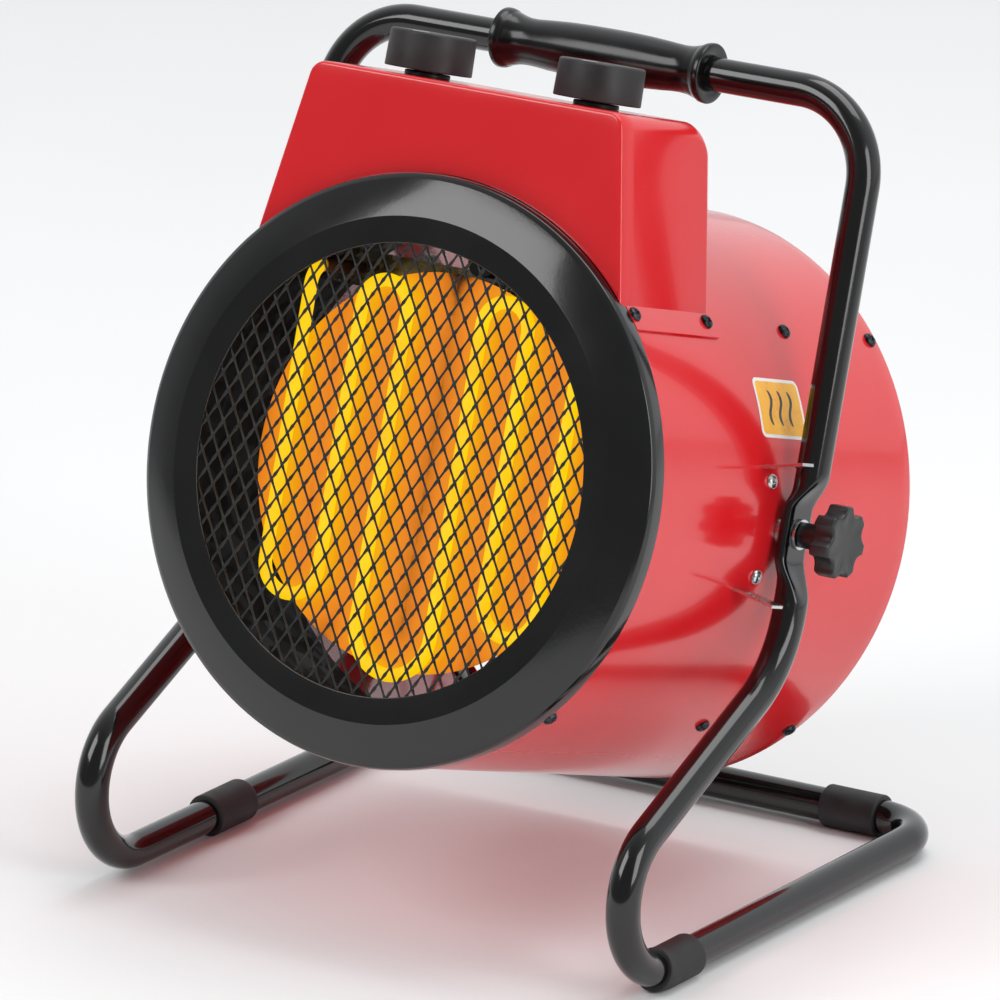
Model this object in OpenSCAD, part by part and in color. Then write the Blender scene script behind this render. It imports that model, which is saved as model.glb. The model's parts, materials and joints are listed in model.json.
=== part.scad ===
// Portable drum fan heater: a steel drum with a heating element and a fan,
// a control box on top, and a bent tube stand that the drum tilts in.

/* [Drum] */
// Outer diameter of the drum
drum_d = 305.4; // [240:0.1:400]
// Length of the drum along its axis
drum_len = 262; // [210:1:330]
// Thickness of the painted sheet steel
sheet = 1.2; // [0.8:0.1:1.6]
// Tilt of the drum at rest, front up, in degrees
body_tilt = 16.7; // [10:0.1:20]
// Angle of the lower drum screws below the side, in degrees
screw_down = 46; // [35:1:55]
// Distance of the end screws from the drum's edges
screw_edge = 9; // [7:0.5:14]
// Air gap between the liner and the drum
liner_gap = 13.5; // [8:0.5:20]

/* [Front ring] */
// Width of the flat band around the opening
band_w = 14; // [8:1:16]
// Width of the sloping part between the flat band and the drum's edge
cone_w = 21.7; // [15:0.1:30]
// Distance that the flat band stands in front of the drum's edge
ring_proud = 14.4; // [12:0.1:18]
// Width of one diamond of the front mesh
diamond_w = 10; // [8:0.1:14]
// Height of one diamond of the front mesh
diamond_h = 16.6; // [14:0.1:22]
// Width of a strand of the front mesh
strand_w = 1.2; // [0.8:0.1:1.6]

/* [Heating element] */
// Diameter of the element's tube
element_d = 7; // [6:0.1:9]
// Distance of the outer runs from the middle
run_outer = 84; // [76:1:88]
// Distance of the middle runs from the middle
run_middle = 51; // [45:1:58]
// Distance of the inner runs from the middle
run_inner = 23; // [18:1:28]
// Clearance between the liner and the element's ends
lead_gap = 9.7; // [6:0.1:20]
// Clearance between the liner and the outer lower turns
side_turn_gap = 24.6; // [10:0.1:35]
// Clearance between the liner and the middle lower turn
low_turn_gap = 31.2; // [10:0.1:40]

/* [Fan] */
// Clearance between the fan and the drum
fan_gap = 33.5; // [16:0.5:50]
// Number of fan blades
blades = 5; // [3:1:7]
// Pitch of the blades in degrees
blade_pitch = 28; // [20:1:32]
// Diameter of the fan motor
motor_d = 72; // [60:1:84]
// Length of the fan motor
motor_len = 56; // [45:1:66]
// Clearance between the motor and the rear guard
motor_gap = 28; // [8:1:34]

/* [Control box] */
// Half width of the box across its top
box_top_w = 95; // [85:1:105]
// Height of the box's top above the drum
box_rise = 48.3; // [40:0.1:60]
// Depth of the box from front to back
box_depth = 88; // [80:1:110]
// Width of the flanges that hold the box on the drum
flange_w = 12; // [9:0.5:16]
// Slope of the box's sides in degrees
box_slope = 10.5; // [5:0.5:14]
// Radius of the front view's top corners
box_corner = 9; // [5:0.5:14]
// Radius of the top rear edge
box_rear_round = 15; // [6:0.5:18]
// Distance of each control knob from the middle
knob_x = 52; // [48:1:60]
// Diameter of a control knob
knob_d = 46; // [36:1:50]
// Height of a control knob
knob_h = 19; // [15:0.5:22]

/* [Stand] */
// Outer diameter of the stand's tube
tube_d = 18; // [15:0.5:21]
// Wall of the stand's tube
tube_wall = 1.5; // [1:0.1:2]
// Gap between the drum and the tube's centre line
side_gap = 12.3; // [12:0.1:18]
// Clearance between the tilting drum and the floor
floor_gap = 8.3; // [5:0.1:30]
// Backward lean of the upper tubes in degrees
lean = 17.2; // [10:0.1:20]
// Angle of the legs above the floor in degrees
leg_angle = 24.1; // [20:0.1:28]
// Distance along the tube from the pivot down to the knee
knee_drop = 69.1; // [66:0.1:80]
// Clearance between the control box and the hand grip
hand_gap = 9.5; // [8:0.5:40]
// Distance of the rear bar behind the pivot
rear_reach = 138.5; // [110:0.5:180]
// Bend radius at the front of the legs
front_bend_r = 40; // [36:1:42]
// Bend radius at the knee
knee_bend_r = 65; // [50:1:68]
// Bend radius of the top corners
top_bend_r = 45; // [35:1:60]
// Bend radius of the rear corners
rear_bend_r = 32; // [30:1:45]
// Diameter of the hand grip's ends
grip_d = 32; // [28:0.5:36]
// Length of the hand grip
grip_len = 130; // [110:1:150]
// Length of a rubber foot
foot_len = 34; // [25:1:40]
// Rubber thickness of a foot
foot_wall = 2.5; // [2:0.1:4]

/* [Pivot] */
// Diameter of the pivot bolts
bolt_d = 8; // [6:0.5:9]
// Thickness of the flattened tube at the pivot
flat_t = 7; // [6:0.5:8]
// Width of the flattened tube at the pivot
flat_w = 24; // [20:0.5:26]
// Height of a tilt stop above or below the pivot
stop_z = 32; // [30:0.5:34]
// Tilt from rest to the front down stop, in degrees
tilt_down = 20; // [12:1:24]
// Tilt from rest to the front up stop, in degrees
tilt_up = 10; // [6:1:10]
// Diameter of a star knob
star_d = 38.4; // [34:0.2:42]

/* [Hidden] */
$fn = 64;

// Colours
RED = "#d9272e";
BLACK = "#1c1c1d";
RUBBER = "#2a2a2b";
ZINC = "#c9ccd0";
STEEL = "#8f9296";
BRASS = "#c9a24b";
GLOW = "#ffb400";
IVORY = "#e6e0d0";

// Small lengths that several pieces share
hair = 0.1;
run_fit = 0.05;
past = 1;
gap = 0.2;

// Rounds a length to a tenth, so that tubes that meet end to end share one face
function tenth(length) = round(10 * length) / 10;

// Drum
drum_r = drum_d / 2;
drum_in = drum_r - sheet;
front_s = -drum_len / 2;
rear_s = drum_len / 2;
screw_head_r = 4;
screw_head_h = 2.4;
screw_r = 2;
screw_hole_r = screw_r + hair;
screw_seat = 3.3;
end_screws = rear_s - screw_edge;
box_top = drum_r + box_rise;
side_reach = box_top_w * cos(box_slope) + box_top * sin(box_slope);
foot_angle = box_slope + acos(side_reach / (drum_r + gap));
screw_up = foot_angle - asin(screw_seat / drum_r);
upper_screws = [screw_up, 180 - screw_up];
lower_screws = [-screw_down, screw_down - 180];
all_screws = concat(upper_screws, lower_screws);
box_back = front_s + box_depth;
flange_screw_edge = 7;
flange_back_screw = box_back - flange_screw_edge;
guard_set_in = 5;
wire_s = rear_s - guard_set_in;
motor_nose = 3;
bracket_t = 2;
tab_half = 10;
motor_bracket_s = wire_s - motor_gap - motor_len - motor_nose - bracket_t;
mid_screws = motor_bracket_s - tab_half / 2;

// Stand
stand_x = drum_r + side_gap;
tube_r = tube_d / 2;
foot_r = tube_r + foot_wall;
foot_flat = 0.6;
rail_z = foot_r - foot_flat;
pivot_h = sqrt(drum_r * drum_r + rear_s * rear_s) + floor_gap;
pinch_half = 34;
flat_half = 12;
flat_x = stand_x - tube_r;
handle_rise = box_top + hand_gap + grip_d / 2;
knee_y = -knee_drop * sin(lean);
knee_z = pivot_h - knee_drop * cos(lean);
corner_y = knee_y - (knee_z - rail_z) / tan(leg_angle);
front_reach = front_bend_r / tan(leg_angle / 2);
rail_start = corner_y + front_reach;
knee_turn = 90 - lean - leg_angle;
knee_reach = knee_bend_r * tan(knee_turn / 2);
leg_len = (knee_z - rail_z) / sin(leg_angle) - front_reach - knee_reach;
rail_end = rear_reach - rear_bend_r;
tube_front = rail_start - front_bend_r - tube_r;
drum_back = rear_s * cos(body_tilt) + drum_r * sin(body_tilt);
pivot_y = -(tube_front + drum_back) / 2;

// Front ring and what it holds
band_r = drum_r - cone_w;
opening_r = band_r - band_w;
rim_in = drum_r + 0.3;
rim_out = rim_in + 1;
band_s = front_s - ring_proud;
rim_end = -end_screws - screw_head_r - 0.5;
mesh_layer = 0.7;
mesh_s = band_s + 1;
mesh_r = band_r - 2;
retainer_out = drum_in - 0.1;
retainer_in = retainer_out - 1.2;
retainer_s = mesh_s + 2 * mesh_layer;

// Liner, reflector and element
liner_r = drum_in - liner_gap;
liner_t = 0.8;
liner_in = liner_r - liner_t;
liner_front = front_s + 3;
element_r = element_d / 2;
element_s = band_s + 30.4;
reflector_s = element_s + 8.4;
reflector_gap = 33.2;
reflector_r = liner_in - reflector_gap;
reflector_t = 0.8;
chord_s = element_s + 45;
chord_t = 1.5;
lead_z = tenth(sqrt(pow(liner_in - lead_gap, 2) - run_outer * run_outer));
turn_top = lead_z - 1;
turn_side = tenth(sqrt(pow(liner_in - side_turn_gap, 2) - run_outer * run_outer));
turn_low = tenth(liner_in - low_turn_gap);
lead_bend = 10;
lead_end = chord_s + 6;

// Fan and motor
shaft_r = 4;
hub_r = 20;
hub_len = 26;
hub_to_bracket = 25;
hub_back = motor_bracket_s - hub_to_bracket;
hub_front = hub_back - hub_len;
fan_r = drum_in - fan_gap;
shaft_depth = 21;
motor_front = motor_bracket_s + bracket_t;

// Control box
knob_s = front_s + box_depth / 2;
knob_gap = 4;
flange_low = foot_angle - asin(flange_w / drum_r);
flange_high = foot_angle + 1;
bush_r = 5;
bush_top = box_top + 3.2;
stem_r = 3;
stem_low = box_top - 20;
socket_h = 12;
control_body_h = 26;
terminal_s = box_back - 26;
grommet_s = terminal_s - 16;
grommet_hole_r = 8;
cable_r = 4;
gland_thread_r = 7.9;
gland_nut_t = 5;
gland_nut_r = 11.5;
gland_z = box_top - box_rear_round - gland_nut_r * cos(30);

// Pivot stack, outward from the drum
bolt_r = bolt_d / 2;
pad_t = 2;
pad_in = drum_in - pad_t;
spacer_r = 8;
washer_t = 1.6;
washer_x = flat_x + flat_t + gap;
neck_x = washer_x + washer_t + gap;
neck_r = 6.5;
neck_len = 15;
head_x = neck_x + neck_len;
head_t = 12;
insert_r = 5;
insert_len = neck_len + 2;
lobes = 7;
lobe_r = 4.8;
stop_angle = asin(stop_z / drum_r);
stop_t = 1.6;
stop_out = stand_x + 13;
stop_len = 11;
tube_half = tube_r + 1.5;
upper_stop_s = -(tube_half + stop_z * sin(tilt_up)) / cos(tilt_up);
knee_room = 0.8;
lower_stop_s = -(tube_half + stop_z * sin(tilt_down)) / cos(tilt_down) - knee_room;
bracket_screw_s = -16;
bracket_screw_angle = 9.4;
pad_angle = 16;
pad_front = lower_stop_s - stop_len - 2;
pad_back = 12;
liner_back = pad_front - past;

// ---- Helpers ----

// Puts a piece drawn about the pivot, with +Y along the drum's axis, in the tilted drum
module tilted() {
    translate([0, pivot_y, pivot_h]) rotate([-body_tilt, 0, 0]) children();
}

// Turns a piece that is round about Z so that its axis runs along +Y
module along_drum() {
    rotate([-90, 0, 0]) children();
}

// Places a piece drawn along +X at a given angle around the drum
module around_drum(angle, s) {
    translate([0, s, 0]) rotate([0, -angle, 0]) children();
}

// A cylinder that runs along +X from x0 to x1
module rod_x(x0, x1, r) {
    translate([x0, 0, 0]) rotate([0, 90, 0]) cylinder(h = x1 - x0, r = r);
}

// A ring whose profile is a list of [radius, place along the drum's axis]
module drum_ring(profile) {
    along_drum() rotate_extrude($fn = 180) polygon(profile);
}

// A plain hoop about the drum's axis
module hoop(r_in, r_out, s0, s1) {
    drum_ring([[r_in, s0], [r_out, s0], [r_out, s1], [r_in, s1]]);
}

// Holes through the drum's wall for one row of screws
module screw_holes(angles, s) {
    for (angle = angles)
        around_drum(angle, s) rod_x(drum_r - 12, drum_r + 12, screw_hole_r);
}

// A wedge of space around +X, used to cut sectors from hoops
module wedge_x(low, high, s0, s1) {
    reach = 2 * drum_r;
    translate([0, s1, 0]) rotate([90, 0, 0]) linear_extrude(s1 - s0)
        polygon([[0, 0], reach * [cos(low), sin(low)], reach * [cos(high), sin(high)]]);
}

// A mirrored copy for the left side
module left() {
    mirror([1, 0, 0]) children();
}

// ---- Stand ----

module tube_section() {
    difference() {
        circle(r = tube_r);
        circle(r = tube_r - tube_wall);
    }
}

module tube_run(length) {
    linear_extrude(length) tube_section();
}

module tube_bend(r, turn) {
    rotate_extrude(angle = turn, $fn = 96) translate([r, 0]) tube_section();
}

// Draws in the plane of the right hand side tube: X is back, Y is up, from the pivot's foot
module side_plane() {
    translate([stand_x, pivot_y, 0]) rotate([90, 0, 90]) children();
}

// Draws about the pivot with +Z up along the right hand upper tube
module upper_tube() {
    translate([0, pivot_y, pivot_h]) rotate([-lean, 0, 0]) children();
}

module handle_tube() {
    half = stand_x - top_bend_r;
    color(BLACK) upper_tube() translate([-half, 0, handle_rise]) rotate([0, 90, 0]) tube_run(2 * half);
}

module upright_right() {
    bend_z = handle_rise - top_bend_r;
    color(BLACK) upper_tube() {
        translate([stand_x, 0, pinch_half]) tube_run(bend_z - pinch_half);
        translate([stand_x - top_bend_r, 0, bend_z]) rotate([90, 0, 0]) tube_bend(top_bend_r, 90);
    }
}

module upright_left() {
    left() upright_right();
}

// The pressed flat section is a stadium, flat_t thick and flat_w wide
module flat_section() {
    end_r = flat_t / 2;
    arm = flat_w / 2 - end_r;
    translate([flat_x + end_r, 0]) {
        square([flat_t, 2 * arm], center = true);
        translate([0, arm]) circle(r = end_r);
        translate([0, -arm]) circle(r = end_r);
    }
}

// The tube opens out from the flat section to its full round at the given distance
module pinch_end(reach) {
    skin = 0.02;
    hull($fn = 32) {
        translate([0, 0, flat_half - 1]) linear_extrude(skin) flat_section($fn = 32);
        translate([stand_x, 0, reach - skin]) cylinder(h = skin, r = tube_r, $fn = 32);
    }
}

module pivot_flat_right() {
    color(BLACK) upper_tube() difference() {
        union() {
            translate([0, 0, -flat_half]) linear_extrude(2 * flat_half) flat_section();
            pinch_end(pinch_half);
            mirror([0, 0, 1]) pinch_end(knee_drop - knee_reach);
        }
        rod_x(flat_x - past, flat_x + flat_t + past, bolt_r + run_fit);
    }
}

module pivot_flat_left() {
    left() pivot_flat_right();
}

module leg_right() {
    leg_start = [corner_y, rail_z] + front_reach * [cos(leg_angle), sin(leg_angle)];
    color(BLACK) side_plane() translate(leg_start) rotate([0, 0, leg_angle])
        rotate([0, 90, 0]) tube_run(leg_len);
}

module leg_left() {
    left() leg_right();
}

module knee_right() {
    knee_start = [corner_y, rail_z] + (front_reach + leg_len) * [cos(leg_angle), sin(leg_angle)];
    color(BLACK) side_plane()
        translate(knee_start + knee_bend_r * [-sin(leg_angle), cos(leg_angle)])
            rotate([0, 0, leg_angle - 90]) tube_bend(knee_bend_r, knee_turn);
}

module knee_left() {
    left() knee_right();
}

module front_bend_right() {
    color(BLACK) side_plane() translate([rail_start, rail_z + front_bend_r])
        rotate([0, 0, 90 + leg_angle]) tube_bend(front_bend_r, 180 - leg_angle);
}

module front_bend_left() {
    left() front_bend_right();
}

module rail_right() {
    color(BLACK) side_plane() translate([rail_start, rail_z])
        rotate([0, 90, 0]) tube_run(rail_end - rail_start);
}

module rail_left() {
    left() rail_right();
}

module rear_bar() {
    half = stand_x - rear_bend_r;
    color(BLACK) translate([0, pivot_y, rail_z]) {
        translate([-half, rear_reach, 0]) rotate([0, 90, 0]) tube_run(2 * half);
        for (side = [0, 1]) mirror([side, 0, 0])
            translate([half, rail_end, 0]) tube_bend(rear_bend_r, 90);
    }
}

// Half outline of the grip: [share of the half length, share of the end radius]
grip_outline = [
    [0, 0.89], [0.2, 0.885], [0.4, 0.86], [0.58, 0.81], [0.7, 0.77], [0.78, 0.775], [0.86, 0.84],
    [0.91, 0.93], [0.95, 1], [0.985, 1], [1, 0.97]
];

module hand_grip() {
    half = grip_len / 2;
    last = len(grip_outline) - 1;
    right_side = [for (p = grip_outline) [p[1] * grip_d / 2, p[0] * half]];
    left_side = [for (i = [last : -1 : 1]) [right_side[i][0], -right_side[i][1]]];
    bore = [[tube_r, half], [tube_r, -half]];
    color(BLACK) upper_tube() translate([0, 0, handle_rise]) rotate([0, 90, 0])
        rotate_extrude() polygon(concat(left_side, right_side, bore));
}

// A rubber sleeve on a tube that runs along +X, with a flat below
module foot_sleeve(length) {
    difference() {
        rod_x(0, length, foot_r);
        rod_x(-past, length + past, tube_r);
        translate([-past, -foot_r, -foot_r - past])
            cube([length + 2 * past, 2 * foot_r, foot_flat + past]);
    }
}

// The right front foot runs a little way onto the bend
foot_lap = 11;
foot_left_back = 65;

module foot_front_right() {
    lap_angle = foot_lap / front_bend_r * 180 / PI;
    color(RUBBER) side_plane() {
        translate([rail_start, rail_z]) rotate([-90, 0, 0]) foot_sleeve(foot_len - foot_lap);
        translate([rail_start, rail_z + front_bend_r]) difference() {
            rotate([0, 0, 270 - lap_angle]) rotate_extrude(angle = lap_angle, $fn = 96)
                translate([front_bend_r, 0]) difference() {
                    circle(r = foot_r);
                    circle(r = tube_r);
                }
            translate([-foot_len, -front_bend_r - foot_r - past, -foot_r])
                cube([2 * foot_len, foot_flat + past, 2 * foot_r]);
        }
    }
}

module foot_front_left() {
    color(RUBBER) translate([-stand_x, pivot_y + rail_start + foot_left_back, rail_z])
        rotate([0, 0, 90]) foot_sleeve(foot_len);
}

module rear_feet() {
    color(RUBBER) for (side = [0, 1]) mirror([side, 0, 0])
        translate([stand_x - rear_bend_r - foot_len, pivot_y + rear_reach, rail_z])
            foot_sleeve(foot_len);
}

// ---- Drum ----

module drum_shell() {
    bead = 3;
    color(RED) tilted() difference() {
        drum_ring([
            [drum_in, front_s], [drum_r, front_s], [drum_r, rear_s],
            [drum_in - bead, rear_s], [drum_in - bead, rear_s - sheet], [drum_in, rear_s - sheet]
        ]);
        screw_holes(all_screws, -end_screws);
        screw_holes(all_screws, mid_screws);
        screw_holes(all_screws, end_screws);
        screw_holes(upper_screws, flange_back_screw);
        for (side = [0, 180]) around_drum(side, 0)
            rod_x(drum_in - past, drum_r + past, bolt_r + hair);
        for (side = [0, 1]) mirror([side, 0, 0]) {
            screw_holes([bracket_screw_angle, -bracket_screw_angle], bracket_screw_s);
            stop_slot(stop_angle, upper_stop_s);
            stop_slot(-stop_angle, lower_stop_s);
        }
        around_drum(90, grommet_s) rod_x(drum_in - past, drum_r + past, grommet_hole_r);
    }
}

module front_ring() {
    round_s = band_s + 6.4;
    color(BLACK) tilted() drum_ring([
        [opening_r, band_s], [band_r, band_s], [rim_out - 3.6, round_s],
        [rim_out - 1.2, round_s + 1.3], [rim_out, round_s + 3.4], [rim_out, rim_end],
        [rim_in, rim_end], [rim_in, round_s + 3.7], [rim_in - 0.9, round_s + 2.2],
        [rim_out - 4.1, round_s + 1], [band_r - 0.2, mesh_s], [opening_r, mesh_s]
    ]);
}

// One layer of parallel strands that lean by an angle, as flat bars inside a circle
module strand_layer(lean_angle, s) {
    pitch = diamond_w * diamond_h / sqrt(diamond_w * diamond_w + diamond_h * diamond_h);
    count = floor((mesh_r - strand_w) / pitch);
    translate([0, s, 0]) rotate([0, lean_angle, 0])
        for (i = [-count : count]) {
            half = sqrt(mesh_r * mesh_r - pow(abs(i * pitch) + strand_w / 2, 2));
            translate([i * pitch - strand_w / 2, 0, -half]) cube([strand_w, mesh_layer, 2 * half]);
        }
}

module front_mesh() {
    lean_angle = atan(diamond_w / diamond_h);
    color(BLACK) tilted() {
        strand_layer(lean_angle, mesh_s);
        strand_layer(-lean_angle, mesh_s + mesh_layer);
    }
}

module mesh_retainer() {
    slope_s = front_s - 5;
    color(STEEL) tilted() difference() {
        drum_ring([
            [opening_r + 2, retainer_s], [band_r - 1.6, retainer_s], [retainer_out, slope_s],
            [retainer_out, front_s + 17], [retainer_in, front_s + 17], [retainer_in, slope_s + 1.5],
            [band_r - 3, retainer_s + 1.2], [opening_r + 2, retainer_s + 1.2]
        ]);
        screw_holes(all_screws, -end_screws);
    }
}

module heat_liner() {
    color(STEEL) tilted() drum_ring([
        [liner_in, liner_front], [liner_r, liner_front], [liner_r, liner_back - liner_t],
        [drum_in - hair, liner_back - liner_t], [drum_in - hair, liner_back],
        [liner_in, liner_back]
    ]);
}

// ---- Heating element ----

module element_tube(length) {
    cylinder(h = length, r = element_r);
}

// A U turn between two upright runs; up is 1 for a top turn, -1 for a bottom turn
module element_turn(x0, x1, z, up) {
    r = (x1 - x0) / 2;
    translate([(x0 + x1) / 2, 0, z - up * r]) rotate([90, 0, 0]) rotate([0, 0, up > 0 ? 0 : 180])
        rotate_extrude(angle = 180, $fn = 96) translate([r, 0]) circle(r = element_r);
}

module element_run(x, low, high) {
    translate([x, 0, low]) element_tube(high - low);
}

module half_element() {
    side_r = (run_outer - run_middle) / 2;
    top_r = (run_middle - run_inner) / 2;
    low_side = side_r - turn_side;
    lead_top = lead_z - lead_bend;
    element_run(run_outer, low_side, lead_top);
    element_turn(run_middle, run_outer, -turn_side, -1);
    element_run(run_middle, low_side, turn_top - top_r);
    element_turn(run_inner, run_middle, turn_top, 1);
    element_run(run_inner, run_inner - turn_low, turn_top - top_r);
    translate([run_outer, lead_bend, lead_top]) rotate([90, 0, -90])
        rotate_extrude(angle = 90, $fn = 96) translate([lead_bend, 0]) circle(r = element_r);
    translate([run_outer, lead_bend, lead_z]) along_drum()
        element_tube(lead_end - element_s - lead_bend);
}

module heating_element() {
    color(GLOW) tilted() translate([0, element_s, 0]) {
        half_element();
        mirror([1, 0, 0]) half_element();
        element_turn(-run_inner, run_inner, -turn_low, -1);
    }
}

module element_terminals() {
    bead_r = 3;
    stud_r = 1.8;
    color(IVORY) tilted() for (side = [-1, 1]) translate([side * run_outer, lead_end, lead_z]) {
        along_drum() cylinder(h = 6, r = bead_r);
        along_drum() translate([0, 0, 6]) cylinder(h = 9, r = stud_r);
    }
}

module element_bracket() {
    band_low = lead_z - 9;
    band_high = lead_z + 10;
    color(ZINC) tilted() difference() {
        intersection() {
            translate([0, chord_s, 0]) along_drum()
                cylinder(h = chord_t, r = liner_in - hair, $fn = 180);
            translate([-drum_r, chord_s - past, band_low])
                cube([drum_d, chord_t + 2 * past, band_high - band_low]);
        }
        for (side = [-1, 1]) translate([side * run_outer, chord_s - past, lead_z])
            along_drum() cylinder(h = chord_t + 2 * past, r = element_r + hair);
    }
}

module reflector_plate() {
    tab_w = 12;
    tab_x = 34;
    tab_z = sqrt(reflector_r * reflector_r - tab_x * tab_x) - 6;
    tab_back = chord_s;
    color(STEEL) tilted() {
        translate([0, reflector_s, 0]) along_drum() cylinder(h = reflector_t, r = reflector_r, $fn = 180);
        for (side = [-1, 1])
            translate([side * tab_x - tab_w / 2, reflector_s + reflector_t, tab_z])
                cube([tab_w, tab_back - reflector_s - reflector_t, reflector_t]);
    }
}

cutout_x = 9;
cutout_r = 8;
cutout_gap = 17;
cutout_z = liner_in - cutout_gap - cutout_r;
cutout_h = 9;
cutout_s = element_s + 12;

module thermal_cutout() {
    color(BLACK) tilted() translate([cutout_x, cutout_s, cutout_z]) {
        along_drum() cylinder(h = cutout_h, r = cutout_r);
        translate([0, cutout_h / 2, cutout_r + 1]) cube([6, 0.8, 6], center = true);
    }
}

module cutout_bracket() {
    plate_s = cutout_s + cutout_h;
    plate_t = 1;
    width = 20;
    color(ZINC) tilted() intersection() {
        translate([cutout_x - width / 2, plate_s, cutout_z - cutout_r])
            cube([width, plate_t, drum_r]);
        translate([0, plate_s - past, 0]) along_drum()
            cylinder(h = plate_t + 2 * past, r = liner_in - hair, $fn = 180);
    }
}

// ---- Fan ----

module motor_bracket() {
    arm_w = 2 * tab_half;
    plate_r = motor_d / 2 + 4;
    tab_in = drum_in - hair - bracket_t;
    bracket_back = motor_bracket_s + bracket_t;
    color(ZINC) tilted() difference() {
        union() {
            translate([0, bracket_back, 0]) rotate([90, 0, 0]) linear_extrude(bracket_t) difference() {
                union() {
                    circle(r = plate_r);
                    for (angle = all_screws) rotate(angle) translate([0, -tab_half])
                        square([tab_in + bracket_t / 2, arm_w]);
                }
                circle(r = shaft_r + 4);
            }
            intersection() {
                hoop(tab_in, drum_in - hair, motor_bracket_s - tab_half, bracket_back);
                for (angle = all_screws) around_drum(angle, motor_bracket_s)
                    translate([tab_in / 2, -2 * tab_half, -tab_half])
                        cube([drum_r, 4 * tab_half, arm_w]);
            }
        }
        screw_holes(all_screws, mid_screws);
    }
}

module fan_motor() {
    r = motor_d / 2;
    nose = motor_nose;
    color(STEEL) tilted() translate([0, motor_front, 0]) along_drum() difference() {
        rotate_extrude() polygon([
            [0, 0], [r - nose, 0], [r, nose], [r, motor_len - nose], [r - nose, motor_len],
            [0.4 * r, motor_len], [0.4 * r, motor_len + nose], [0, motor_len + nose]
        ]);
        translate([0, 0, -past]) cylinder(h = shaft_depth + 1 + past, r = shaft_r + run_fit);
    }
}

module fan_shaft() {
    color(ZINC) tilted() translate([0, hub_front - 2, 0]) along_drum()
        cylinder(h = motor_front + shaft_depth - hub_front + 2, r = shaft_r);
}

module fan_blades() {
    chord = 50;
    thickness = 1.6;
    root = hub_r - 2;
    color(RUBBER) tilted() difference() {
        union() {
            translate([0, hub_front, 0]) along_drum() cylinder(h = hub_back - hub_front, r = hub_r);
            intersection() {
                hoop(root, fan_r, hub_front - 2 * chord, hub_back + 2 * chord);
                for (i = [0 : blades - 1])
                    around_drum(90 + i * 360 / blades, (hub_front + hub_back) / 2)
                        rotate([blade_pitch - 90, 0, 0]) translate([root, -chord / 2, -thickness / 2])
                            cube([2 * fan_r, chord, thickness]);
            }
        }
        translate([0, hub_front - past, 0]) along_drum()
            cylinder(h = hub_back - hub_front + 2 * past, r = shaft_r);
    }
}

module rear_guard() {
    hoop_out = drum_in - hair;
    hoop_in = hoop_out - 1.2;
    wire_t = 2;
    ring_pitch = 13.5;
    rings = floor((hoop_in - 2 * wire_t) / ring_pitch);
    color(BLACK) tilted() difference() {
        union() {
            hoop(hoop_in, hoop_out, end_screws - 10, wire_s + wire_t);
            translate([0, wire_s + wire_t, 0]) rotate([90, 0, 0]) linear_extrude(wire_t) {
                circle(r = ring_pitch + wire_t);
                for (i = [2 : rings]) difference() {
                    circle(r = i * ring_pitch + wire_t, $fn = 180);
                    circle(r = i * ring_pitch, $fn = 180);
                }
                for (i = [0 : 7]) rotate(i * 45) translate([0, -wire_t])
                    square([hoop_in + 0.6, 2 * wire_t]);
            }
        }
        screw_holes(all_screws, end_screws);
    }
}

// ---- Pivots ----

// A tilt stop: a radial plate whose rear edge is at s
module stop_plate(angle, s, r0, extra) {
    around_drum(angle, s - stop_len - extra) translate([r0, 0, -stop_t / 2 - extra])
        cube([stop_out - r0, stop_len + 2 * extra, stop_t + 2 * extra]);
}

module stop_slot(angle, s) {
    stop_plate(angle, s, drum_in - past, 0.3);
}

module pivot_bracket_right() {
    color(ZINC) tilted() difference() {
        union() {
            intersection() {
                hoop(pad_in, drum_in - hair, pad_front, pad_back);
                wedge_x(-pad_angle, pad_angle, pad_front - past, pad_back + past);
            }
            stop_plate(stop_angle, upper_stop_s, pad_in + 0.5, 0);
            stop_plate(-stop_angle, lower_stop_s, pad_in + 0.5, 0);
        }
        rod_x(pad_in - past, drum_in + past, bolt_r + hair);
        screw_holes([bracket_screw_angle, -bracket_screw_angle], bracket_screw_s);
    }
}

module pivot_bracket_left() {
    left() pivot_bracket_right();
}

module pivot_bolt_right() {
    head_h = 5.5;
    head_r = 7.5;
    color(ZINC) tilted() {
        rod_x(pad_in - gap, neck_x + insert_len, bolt_r);
        translate([pad_in - gap - head_h, 0, 0]) rotate([0, 90, 0])
            cylinder(h = head_h, r = head_r, $fn = 6);
    }
}

module pivot_bolt_left() {
    left() pivot_bolt_right();
}

module pivot_spacers() {
    color(ZINC) tilted() for (side = [0, 1]) mirror([side, 0, 0]) difference() {
        rod_x(drum_r + hair, flat_x - gap, spacer_r);
        rod_x(drum_r - past, flat_x + past, bolt_r + hair);
    }
}

module pivot_washer_right() {
    color(ZINC) tilted() difference() {
        rod_x(washer_x, washer_x + washer_t, spacer_r);
        rod_x(washer_x - past, washer_x + washer_t + past, bolt_r + run_fit);
    }
}

module pivot_washer_left() {
    left() pivot_washer_right();
}

module star_knob_right() {
    lobe_at = star_d / 2 - lobe_r;
    color(BLACK) tilted() difference() {
        union() {
            rod_x(neck_x, head_x, neck_r);
            translate([head_x, 0, 0]) rotate([0, 90, 0]) linear_extrude(head_t) {
                circle(r = lobe_at);
                for (i = [0 : lobes - 1]) rotate(i * 360 / lobes) translate([lobe_at, 0]) circle(r = lobe_r);
            }
        }
        rod_x(neck_x - past, neck_x + insert_len, insert_r);
    }
}

module star_knob_left() {
    left() star_knob_right();
}

module knob_insert_right() {
    color(BRASS) tilted() difference() {
        rod_x(neck_x, neck_x + insert_len, insert_r);
        rod_x(neck_x - past, neck_x + insert_len + past, bolt_r + run_fit);
    }
}

module knob_insert_left() {
    left() knob_insert_right();
}

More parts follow.
